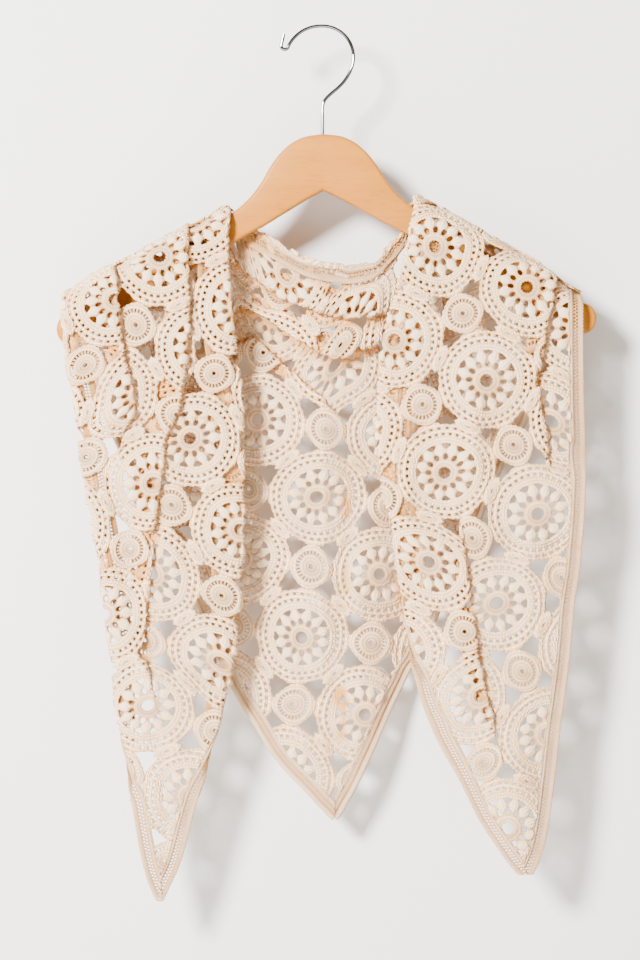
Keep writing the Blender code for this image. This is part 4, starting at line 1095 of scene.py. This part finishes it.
def laid_cloth(name, stretch, flat, kept, crochet, material):
    """Crochet laid over a stretch: its quads on both sides and a wall along every edge and hole.

    Its points keep how far they stand proud and how closely other cloth and wood crowd them, for the
    yarn's painted light and shade.
    """
    kept = kept & (quad_areas(flat, crochet.quads) > SMALLEST_QUAD)
    quads, uv = crochet.quads[kept], crochet.uv[kept]
    used, quads = np.unique(quads, return_inverse=True)
    quads = quads.reshape(-1, 4)
    flat, lift, half = flat[used], crochet.points[used, 2], crochet.half[used]
    away = np.hypot(*(crochet.points[used, :2] - crochet.place[used, :2]).T) / ROSETTE_REACH
    dome = ROSETTE_DOME * (0.5 - away ** 2) * (np.abs(crochet.place[used]).sum(axis=1) > 0)
    middle, normal = stretch.surface(flat), stretch.normals(flat)
    rise = (dome + lift + half)[:, None]
    fall = (half - dome + BACK_SHARE * np.maximum(lift, 0))[:, None]
    points = np.vstack([middle + normal * rise, middle - normal * fall]) * MM
    count = len(used)
    starts, ends = quads.ravel(), np.roll(quads, -1, axis=1).ravel()
    edge_ids, twin_ids = starts * count + ends, ends * count + starts
    rim = ~np.isin(edge_ids, twin_ids)
    walls = np.column_stack([ends[rim], starts[rim], starts[rim] + count, ends[rim] + count])
    start_uv, end_uv = (marks.reshape(-1, 2)[rim] for marks in (uv, np.roll(uv, -1, axis=1)))
    wall_uv = np.stack([end_uv, start_uv, start_uv, end_uv], axis=1)
    faces = np.vstack([quads, quads[:, ::-1] + count, walls])
    face_uv = np.concatenate([uv, uv[:, ::-1], wall_uv])
    mesh = bpy.data.meshes.new(name)
    mesh.vertices.add(len(points))
    mesh.vertices.foreach_set("co", points.ravel())
    mesh.loops.add(faces.size)
    mesh.loops.foreach_set("vertex_index", faces.ravel())
    mesh.polygons.add(len(faces))
    mesh.polygons.foreach_set("loop_start", np.arange(0, faces.size, 4))
    mesh.polygons.foreach_set("use_smooth", np.ones(len(faces), bool))
    mesh.update(calc_edges=True)
    layer = mesh.uv_layers.new(name="stitches")
    layer.data.foreach_set("uv", face_uv.ravel())
    # Standing proud paints the yarn lighter, and cloth or wood close by paints it in deeper shade
    for label, values in (("proud", np.concatenate([lift, lift])),
                          ("shelter", shelter_shade_at(stretch.shelter, stretch, flat).T.ravel())):
        mesh.attributes.new(label, "FLOAT", "POINT").data.foreach_set("value", values)
    mesh.materials.append(material)
    mesh.validate()
    return linked(name, mesh)


def crest_table(stretch, start):
    """Levels at which a tail's cloth reaches the crest of the arm, over its arcs."""
    arcs = np.arange(stretch.low.min(), stretch.high.max(), CREST_STEP)
    levels = [level_of(stretch, lambda z, arc=arc: arc, start, True) for arc in arcs]
    return arcs, np.array(levels)


def within(flat, moved):
    """Points that a cut leaves where they are."""
    return np.hypot(*(flat - moved).T) < 1e-6


def hand_pulled(points):
    """Moves flat points as uneven handwork does."""
    moved = points.copy()
    for axis, pulls in enumerate((SIDEWAYS_PULLS, UPRIGHT_PULLS)):
        moved[:, axis] += waved(pulls, points[:, 0], points[:, 1])
    return moved


def lattice_crochet(tree, parts, lattice, low, high, seed):
    """The flat lace field of a stretch, turned and placed on its lattice."""
    centre = np.array([lattice.x, lattice.z])
    reach = np.abs(np.vstack([low - centre, high - centre])).max(axis=0)
    count = 2 * int(np.ceil(np.hypot(*reach) / LATTICE_PITCH)) + 1
    crochet = tree.crochet({"Pitch": LATTICE_PITCH, "Count": count, "Turn": ROSETTE_TURN,
                            "Size": ROSETTE_SIZE, "Seed": seed, "Large": parts["large"],
                            "Small": parts["small"], "Joint": parts["joint"],
                            "Material": parts["yarn"]})
    cos, sin = math.cos(lattice.turn), math.sin(lattice.turn)
    turn = np.array([[cos, sin, 0.0], [-sin, cos, 0.0], [0.0, 0.0, 1.0]])
    shift = np.array([centre[0], centre[1], 0.0])
    return crochet._replace(points=hand_pulled(crochet.points @ turn + shift),
                            place=crochet.place @ turn + shift)


def under_crest(flat, places, crest):
    """Levels of flat points of a tail, kept between its tip and the arm's crest."""
    return np.minimum(np.maximum(flat[:, 1], places[0]), np.interp(flat[:, 0], *crest))


def kept_short(values, limit, below):
    """Values that stay below a limit, or else above it."""
    return np.minimum(values, limit) if below else np.maximum(values, limit)


def tail_cut(stretch, crest):
    """Keeps flat points of a tail inside its edgings and under the arm's crest."""
    places = stretch.places
    low = [stretch.between(stretch.low, z) + edging_width(stretch, z, "low") for z in places]
    high = [stretch.between(stretch.high, z) - edging_width(stretch, z, "high") for z in places]
    low, high = np.array(low) - TRIM_OVERLAP, np.array(high) + TRIM_OVERLAP

    def cut(flat):
        z = under_crest(flat, places, crest)
        arc = np.clip(flat[:, 0], np.interp(z, places, low), np.interp(z, places, high))
        return np.column_stack([arc, z])
    return cut


def back_cut(stretch):
    """Keeps flat points of the back between its hem's edging and the neck edging or the arms' crest."""
    places = stretch.places
    low = [stretch.between(stretch.low, x) + edging_width(stretch, x, "low") for x in places]
    high = [stretch.between(stretch.high, x) - (TRIM_WIDTH - TRIM_OVERLAP) * (abs(x) < NECK_EDGING_END)
            for x in places]
    low = np.array(low) - TRIM_OVERLAP

    def cut(flat):
        x = np.clip(flat[:, 0], places[0], places[-1])
        arc = np.clip(flat[:, 1], np.interp(x, places, low), np.interp(x, places, high))
        return np.column_stack([x, arc])
    return cut


def lace(name, stretch, cut, crochet, choose, material):
    """The lace of a stretch, or of the rosettes that choose picks by their places."""
    moved = cut(crochet.points[:, :2])
    inside = within(crochet.points[:, :2], moved) & choose(crochet.place)
    kept = inside[crochet.quads].any(axis=1)
    return laid_cloth(name, stretch, moved, kept, crochet, material)


def edging(name, stretch, path, inward, cut, tree, unit, parts):
    """An edging along a path of flat points, its width to the inward side (1 left of the path, -1 right)."""
    steps = np.hypot(*np.diff(path, axis=0).T)
    along = np.concatenate([[0], np.cumsum(steps)])
    count = int(round(along[-1] / EDGING_REPEAT))
    crochet = tree.crochet({"Repeat": EDGING_REPEAT, "Count": count, "Unit": parts[unit],
                            "Material": parts["trim yarn"]})
    tangent = np.gradient(path, along, axis=0)
    tangent /= np.hypot(*tangent.T)[:, None]
    side = inward * np.column_stack([-tangent[:, 1], tangent[:, 0]])
    s = crochet.points[:, 0] * along[-1] / (count * EDGING_REPEAT)
    base = np.column_stack([np.interp(s, along, path[:, c]) for c in (0, 1)])
    inwards = np.column_stack([np.interp(s, along, side[:, c]) for c in (0, 1)])
    flat = cut(base + crochet.points[:, 1:2] * inwards)
    kept = np.ones(len(crochet.quads), bool)
    return laid_cloth(name, stretch, flat, kept, crochet, parts["trim yarn"])


def draped(line_at, places, upright, creases, solids):
    """A stretch with the table of its painted shade, which is taken where the solids are, before the creases
    are put in.
    """
    stretch = Stretch(line_at, places, upright)
    stretch.shelter = shelter_shade_table(stretch, solids)
    stretch.creases = creases
    return stretch


def declare(piece, node_name):
    """Says which body a piece rides on, and hides the solid that it stands for."""
    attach(piece, BODY)
    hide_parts(node_name)


def dress_tail(side, levels, lattice, creases, neck_end, trees, parts, seed):
    """The lace and the two edgings of a tail."""
    places = np.arange(levels[-1].z, levels[0].z + LINE_STEP, LINE_STEP)
    stretch = draped(lambda z: tail_line(levels, z), places, False, creases, parts["solids"])
    crest = crest_table(stretch, levels[-1].z)
    cut = tail_cut(stretch, crest)
    low = np.array([stretch.low.min(), places[0]])
    high = np.array([stretch.high.max(), crest[1].max()])
    crochet = lattice_crochet(trees["lace"], parts, lattice, low, high, seed)
    piece = lace("lace_front_" + side, stretch, cut, crochet, lambda place: True, parts["yarn"])
    declare(piece, "shawl_front_" + side)

    middles = (stretch.low + stretch.high) / 2
    for end, inward in (("low", -1), ("high", 1)):
        ends = stretch.low if end == "low" else stretch.high
        path = np.column_stack([ends, places])
        top = np.interp(path[:, 0], *crest)
        path = path[path[:, 1] < top + CREST_STEP]
        path = np.vstack([2 * path[0] - path[TIP_STEPS], path])

        def trim_cut(flat, inward=inward):
            z = under_crest(flat, places, crest)
            seam = np.interp(z, places, middles) + SEAM / 2 * inward
            return np.column_stack([kept_short(flat[:, 0], seam, inward < 0), z])

        edge = ("neck_" if end == neck_end else "side_") + side
        trim = edging("edging_" + edge, stretch, path, inward, trim_cut, trees["edging"], "edging", parts)
        declare(trim, "trim_" + edge)


def dress_back(trees, parts, seed):
    """The lace of the back, its neck edging and the edging of its two sloping sides."""
    places = np.arange(BACK_COLUMNS[0].x, BACK_COLUMNS[-1].x + LINE_STEP, LINE_STEP)
    stretch = draped(back_line, places, True, BACK_CREASES, parts["solids"])
    cut = back_cut(stretch)
    low = np.array([places[0], stretch.low.min()])
    high = np.array([places[-1], stretch.high.max()])
    crochet = lattice_crochet(trees["lace"], parts, BACK_LATTICE, low, high, seed)
    halves = (("left", lambda place: place[:, 0] <= BACK_SPLIT, places <= BACK_SPLIT),
              ("right", lambda place: place[:, 0] > BACK_SPLIT, places > BACK_SPLIT))
    corner = min(BACK_COLUMNS, key=lambda column: column.hem).x
    hem = np.column_stack([places, stretch.low])
    spans = {"left": hem[places < corner - LINE_STEP / 2], "right": hem[places > corner + LINE_STEP / 2]}
    neck = np.column_stack([places, stretch.high])[np.abs(places) <= NECK_EDGING_END + 1]

    def neck_cut(flat):
        x = np.clip(flat[:, 0], -NECK_EDGING_END, NECK_EDGING_END)
        return np.column_stack([x, flat[:, 1]])

    neck_trim = edging("edging_neck_back", stretch, neck, -1, neck_cut, trees["edging"], "edging", parts)
    declare(neck_trim, "trim_neck_back")
    for side, choose, columns in halves:
        piece = lace("lace_back_" + side, stretch, cut, crochet, choose, parts["yarn"])
        declare(piece, "shawl_back")

        def hem_cut(flat, side=side):
            below = side == "left"
            x = np.clip(flat[:, 0], places[0], places[-1])
            x = kept_short(x, corner - SEAM / 2 if below else corner + SEAM / 2, below)
            return np.column_stack([x, flat[:, 1]])

        trim = edging("edging_hem_" + side, stretch, spans[side], 1, hem_cut, trees["edging"], "hem", parts)
        declare(trim, "trim_hem_" + side)


class Dye(Nodes):
    """The nodes of a material or a shader group."""

    def mix(self, factor, first, second):
        """A colour between two, the second one where the factor is 1."""
        made = self.node("ShaderNodeMix", {"data_type": "RGBA"})
        self.feed(made, "0", factor)
        self.feed(made, "6", first)
        self.feed(made, "7", second)
        return made.outputs[2]

    def noise(self, kind, vector):
        """Noise of a size and detail over places in metres."""
        return self.node("ShaderNodeTexNoise", Scale=kind.scale, Detail=kind.detail, Vector=vector).outputs[0]

    def spread(self, value, reach, low=0.0, high=1.0):
        """Takes the values of a range to those from low to high."""
        return self.node("ShaderNodeMapRange", Value=value, From_Min=reach[0], From_Max=reach[1],
                         To_Min=low, To_Max=high).outputs[0]

    def total(self, values, shares):
        """Sum of values, each times its share."""
        parts = [self.math("MULTIPLY", value, share) for value, share in zip(values, shares)]
        found = parts[0]
        for part in parts[1:]:
            found = self.math("ADD", found, part)
        return found

    def where(self):
        """The place on the object, in metres."""
        return self.node("ShaderNodeTexCoord").outputs["Object"]

    def kept(self, label):
        """A value that the mesh keeps on its points."""
        return self.node("ShaderNodeAttribute", {"attribute_name": label}).outputs["Fac"]


def opaque(colour):
    """A colour with nothing clear in it."""
    return (*colour, 1.0)


def shader_group(name, inputs, outputs):
    """A shader group with named inputs and outputs: its nodes, what goes in and what comes out."""
    tree = bpy.data.node_groups.new(name, "ShaderNodeTree")
    for label, kind in inputs.items():
        tree.interface.new_socket(label, in_out="INPUT", socket_type="NodeSocket" + kind)
    for label, kind in outputs.items():
        tree.interface.new_socket(label, in_out="OUTPUT", socket_type="NodeSocket" + kind)
    return Dye(tree), tree.nodes.new("NodeGroupInput").outputs, tree.nodes.new("NodeGroupOutput")


def crochet_group():
    """Crochet stitches on the piece's UV map, u counting stitches and v going across the rounds in mm, with
    painted light and shade in their colour.
    """
    dye, given, result = shader_group(
        "crochet_stitches", {"Light": "Color", "Shade": "Color", "Deep": "Color", "Chevron": "Float"},
        {"Color": "Color", "Height": "Float"})
    uv = dye.node("ShaderNodeUVMap", {"uv_map": "stitches"})
    u, v = dye.node("ShaderNodeSeparateXYZ", Vector=uv.outputs[0]).outputs[:2]
    posts = dye.math("ABSOLUTE", dye.math("SINE", dye.math("MULTIPLY", u, math.pi)))
    zigzag = dye.math("PINGPONG", dye.math("MULTIPLY", u, 2.0), 1.0)
    leaning = dye.math("ADD", v, dye.math("MULTIPLY", zigzag, given["Chevron"]))
    plies = dye.math("SINE", dye.total((leaning, u), (2 * math.pi / PLY_PITCH, math.pi)))
    where = dye.where()
    fibres = dye.noise(FIBRES, where)
    # Painted light and shade: proud rounds, posts and plies are painted in the light colour and the grooves
    # between them in the shade colour, while fibres and patches vary the tone at random
    proud_lighting = dye.spread(dye.kept("proud"), PROUD_RANGE)
    height = dye.total((posts, plies, fibres), RELIEF_SHARES)
    lit = dye.total((proud_lighting, posts, plies, fibres, dye.noise(PATCHES, where)), LIGHT_SHARES)
    colour = dye.mix(dye.spread(lit, LIGHT_RANGE), given["Shade"], given["Light"])
    # Deeper painted shade where other cloth or wood stands close in front of or behind the yarn
    deep_shade_share = dye.spread(dye.kept("shelter"), SHELTER_SHADE_RANGE, 0.0, DEEPEST_SHADE)
    dye.feed(result, "Color", dye.mix(deep_shade_share, colour, given["Deep"]))
    dye.feed(result, "Height", height)
    return dye.tree


def plain_material(name, **values):
    """A new material, its nodes and its main shader, which is given these values."""
    material = bpy.data.materials.new(name)
    material.use_nodes = True
    dye, main = Dye(material.node_tree), material.node_tree.nodes["Principled BSDF"]
    for label, value in values.items():
        dye.feed(main, label.replace("_", " "), value)
    return material, dye, main


def yarn_material(name, yarn, group):
    """Matt cotton yarn."""
    material, dye, cloth = plain_material(name, Roughness=0.92, Sheen_Weight=0.06, Sheen_Roughness=0.5,
                                          Specular_IOR_Level=0.15)
    stitches = dye.node("ShaderNodeGroup", {"node_tree": group}, Light=opaque(yarn.light),
                        Shade=opaque(yarn.shade), Deep=opaque(yarn.deep), Chevron=yarn.chevron)
    bump = dye.node("ShaderNodeBump", Strength=YARN_BUMP, Distance=yarn.depth,
                    Height=stitches.outputs["Height"])
    dye.feed(cloth, "Base Color", stitches.outputs["Color"])
    dye.feed(cloth, "Normal", bump.outputs[0])
    return material


def wood_group():
    """Straight beech grain along X with short dark flecks."""
    dye, given, result = shader_group("beech_grain", {"Light": "Color", "Dark": "Color"},
                                      {"Color": "Color", "Roughness": "Float", "Height": "Float"})
    where = dye.where()
    broad, fine = (dye.noise(kind, dye.node("ShaderNodeMapping", Vector=where, Scale=stretch).outputs[0])
                   for kind, stretch in ((BROAD_GRAIN, BAND_STRETCH), (FINE_GRAIN, FLECK_STRETCH)))
    mark = dye.spread(fine, FLECK_RANGE)
    tone = dye.total((broad, mark), WOOD_SHARES)
    dye.feed(result, "Color", dye.mix(tone, given["Light"], given["Dark"]))
    dye.feed(result, "Roughness", dye.spread(mark, (0.0, 1.0), *WOOD_ROUGHNESS))
    dye.feed(result, "Height", fine)
    return dye.tree


def wood_material(name, light, dark, group):
    """Pale wood under thin satin lacquer."""
    material, dye, wood = plain_material(name, Specular_IOR_Level=0.12, Coat_Weight=0.03, Coat_Roughness=0.3)
    grain = dye.node("ShaderNodeGroup", {"node_tree": group}, Light=opaque(light), Dark=opaque(dark))
    bump = dye.node("ShaderNodeBump", Strength=WOOD_BUMP, Distance=WOOD_RELIEF,
                    Height=grain.outputs["Height"])
    dye.feed(wood, "Base Color", grain.outputs["Color"])
    dye.feed(wood, "Roughness", grain.outputs["Roughness"])
    dye.feed(wood, "Normal", bump.outputs[0])
    return material


def chrome_material():
    """Polished plating; towards its edges a painted dark reflection darkens the wire's colour."""
    material, dye, metal = plain_material("polished_wire", Metallic=1.0, Specular_Tint=opaque(CHROME_RIM))
    # Painted reflection: the colour darkens towards the wire's edges as if it mirrored a dark room
    edge = dye.spread(dye.node("ShaderNodeLayerWeight").outputs["Facing"], PAINTED_REFLECTION_FACING)
    dye.feed(metal, "Base Color", dye.mix(edge, opaque(CHROME), opaque(CHROME_PAINTED_REFLECTION)))
    dye.feed(metal, "Roughness", dye.spread(dye.noise(WEAR, dye.where()), (0.0, 1.0), *CHROME_ROUGHNESS))
    return material


def stage_material(name, colour, one_sided):
    """Plain paint; a one-sided backdrop is clear from behind and lets light from behind through."""
    material, dye, paint = plain_material(name, Base_Color=opaque(colour), Roughness=0.85,
                                          Specular_IOR_Level=0.1)
    if one_sided:
        clear = dye.node("ShaderNodeBsdfTransparent")
        behind = dye.node("ShaderNodeNewGeometry").outputs["Backfacing"]
        shadow = dye.node("ShaderNodeLightPath").outputs["Is Shadow Ray"]
        both = dye.node("ShaderNodeMixShader")
        for label, value in (("0", dye.math("MAXIMUM", behind, shadow)), ("1", paint.outputs[0]),
                             ("2", clear.outputs[0])):
            dye.feed(both, label, value)
        out = next(node for node in dye.tree.nodes if node.type == "OUTPUT_MATERIAL")
        dye.feed(out, "Surface", both.outputs[0])
    return material


def linked(name, data):
    """A new object in the scene."""
    item = bpy.data.objects.new(name, data)
    bpy.context.collection.objects.link(item)
    return item


def plain_mesh(name, points, faces, material):
    """An object made from points in mm and faces."""
    mesh = bpy.data.meshes.new(name)
    mesh.from_pydata([tuple(float(c) * MM for c in p) for p in points], [], faces)
    mesh.materials.append(material)
    return linked(name, mesh)


def finished_mesh(item):
    """Applies an object's modifiers and place, so that it is a plain mesh at the origin."""
    seen = bpy.context.evaluated_depsgraph_get()
    mesh = bpy.data.meshes.new_from_object(item.evaluated_get(seen))
    mesh.transform(item.matrix_world)
    name = item.name
    bpy.data.objects.remove(item, do_unlink=True)
    return linked(name, mesh)


def hanger_half(side, mirror, material):
    """A glued half of the hanger with its neck's curve and rounded edges."""
    reaches = np.concatenate([np.linspace(0, NECK_HALF_WIDTH, NECK_STEPS),
                              np.linspace(NECK_HALF_WIDTH, ARM_SECTIONS[-1].reach, ARM_STEPS)[1:]])
    top = smooth_table(ARM_SECTIONS, "reach", "top", reaches)
    bottom = smooth_table(ARM_SECTIONS, "reach", "bottom", reaches)
    radius = (top[-1] - bottom[-1]) / 2
    middle = (top[-1] + bottom[-1]) / 2
    end = [(reaches[-1] + (ARM_REACH - reaches[-1]) * math.sin(a), middle + radius * math.cos(a))
           for a in np.linspace(0, math.pi, END_STEPS)[1:-1]]
    outline = list(zip(reaches, top)) + end + list(zip(reaches[::-1], bottom[::-1]))
    outline = [(mirror * max(x, GLUE_LINE / 2), z) for x, z in outline]
    count, half = len(outline), HANGER_THICKNESS / 2
    points = [(x, -half, z) for x, z in outline] + [(x, half, z) for x, z in outline]
    faces = [tuple(range(count)), tuple(range(2 * count - 1, count - 1, -1))]
    faces += [(i, i + count, (i + 1) % count + count, (i + 1) % count) for i in range(count)]
    if mirror > 0:
        faces = [face[::-1] for face in faces]
    item = plain_mesh("wood_half_" + side, points, faces, material)
    sharpness = item.data.attributes.new("bevel_weight_edge", "FLOAT", "EDGE")
    glued = ({0, count - 1}, {count, 2 * count - 1})
    for edge, weight in zip(item.data.edges, sharpness.data):
        same_side = (edge.vertices[0] < count) == (edge.vertices[1] < count)
        weight.value = float(same_side and set(edge.vertices) not in glued)
    item.location.z = HANGER_TOP_Z * MM
    item.rotation_euler.y = -HANGER_TILT
    bpy.context.view_layer.update()
    rounded = item.modifiers.new("rounded edges", "BEVEL")
    rounded.width = HANGER_EDGE * MM
    rounded.segments = EDGE_SEGMENTS
    rounded.limit_method = "WEIGHT"
    item = finished_mesh(item)
    item.data.shade_smooth()
    item.data.set_sharp_from_angle(angle=SMOOTH_ANGLE)
    return item


def wire_hook(material):
    """The hook as one round wire."""
    curve = bpy.data.curves.new("wire_hook", "CURVE")
    curve.dimensions = "3D"
    curve.bevel_depth = WIRE / 2 * MM
    curve.bevel_resolution = WIRE_RESOLUTION
    curve.use_fill_caps = True
    curve.materials.append(material)
    route = hook_route()
    spline = curve.splines.new("POLY")
    spline.points.add(len(route) - 1)
    for point, (x, z) in zip(spline.points, route):
        point.co = (x * MM, 0.0, z * MM, 1.0)
    item = finished_mesh(linked("wire_hook", curve))
    item.data.shade_smooth()
    return item


def build_stage():
    """The wall behind the shawl and the floor: each goes across from its first to its second side."""
    wide = STAGE_HALF
    wall = stage_material("wall_paint", WALL_COLOUR, True)
    floor = stage_material("floor_paint", FLOOR_COLOUR, False)
    for name, first, second, paint in (("backdrop", (WALL_Y, FLOOR_Z), (WALL_Y, wide), wall),
                                       ("floor", (-wide, FLOOR_Z), (wide, FLOOR_Z), floor)):
        corners = [(-wide, *first), (wide, *first), (wide, *second), (-wide, *second)]
        plain_mesh(name, corners, [(0, 1, 2, 3)], paint)


def build_lights():
    """Round area lights that all look at the middle of the shawl, and the room's even light."""
    for light in LIGHTS:
        data = bpy.data.lights.new(light.name, "AREA")
        data.shape = "DISK"
        data.size = light.size * MM
        data.energy = light.power
        data.color = (light.red, light.green, light.blue)
        item = linked(light.name, data)
        item.location = Vector((light.x, light.y, light.z)) * MM
        away = Vector(LIGHT_AIM) * MM - item.location
        item.rotation_euler = away.to_track_quat("-Z", "Y").to_euler()
    world = bpy.data.worlds.new("soft room")
    world.use_nodes = True
    glow = world.node_tree.nodes["Background"]
    glow.inputs[0].default_value = (*ROOM_LIGHT[:3], 1.0)
    glow.inputs[1].default_value = ROOM_LIGHT[3]
    bpy.context.scene.world = world


def build_camera():
    """The photographed view, level and straight on."""
    data = bpy.data.cameras.new("camera")
    data.sensor_fit = "VERTICAL"
    data.sensor_height = CAMERA_SENSOR
    data.lens = CAMERA_LENS
    data.clip_end = CAMERA_FAR
    item = linked("camera", data)
    item.location = Vector(CAMERA_PLACE) * MM
    item.rotation_euler = (math.pi / 2, 0.0, 0.0)
    bpy.context.scene.camera = item


def build_hanger():
    """The two halves of the wooden hanger and its hook."""
    beech = wood_material("beech", WOOD_LIGHT, WOOD_DARK, wood_group())
    for side, mirror in (("left", -1), ("right", 1)):
        declare(hanger_half(side, mirror, beech), "hanger_arm_" + side)
    declare(wire_hook(chrome_material()), "hanger_hook")


def build_shawl(solids):
    """The flat crochet patterns, and the three stretches that are dressed with them."""
    stitches = crochet_group()
    parts = {"yarn": yarn_material("lace_yarn", LACE_YARN, stitches),
             "trim yarn": yarn_material("edging_yarn", EDGING_YARN, stitches),
             "large": rosette("large_rosette", LARGE_ROSETTE, LARGE_STITCHES, 1.0, True),
             "small": rosette("small_rosette", SMALL_ROSETTE, SMALL_STITCHES, 1.0, False),
             "joint": rosette("joint", JOINT, JOINT_STITCHES, JOINT_LENGTH, False),
             "edging": edging_repeat("edging_repeat", EDGING_ROWS),
             "hem": edging_repeat("hem_repeat", HEM_ROWS),
             "solids": solids}
    trees = {"lace": lace_field_tree(), "edging": edging_tree()}
    dress_tail("left", LEFT_LEVELS, LEFT_LATTICE, LEFT_CREASES, "high", trees, parts, ROSETTE_SEED)
    dress_tail("right", RIGHT_LEVELS, RIGHT_LATTICE, RIGHT_CREASES, "low", trees, parts, ROSETTE_SEED + 1)
    dress_back(trees, parts, ROSETTE_SEED + 2)
    for pattern in ("large", "small", "joint", "edging", "hem"):
        bpy.data.objects.remove(parts[pattern], do_unlink=True)


solids = solid_shapes()
build_camera()
build_stage()
build_lights()
build_hanger()
build_shawl(solids)
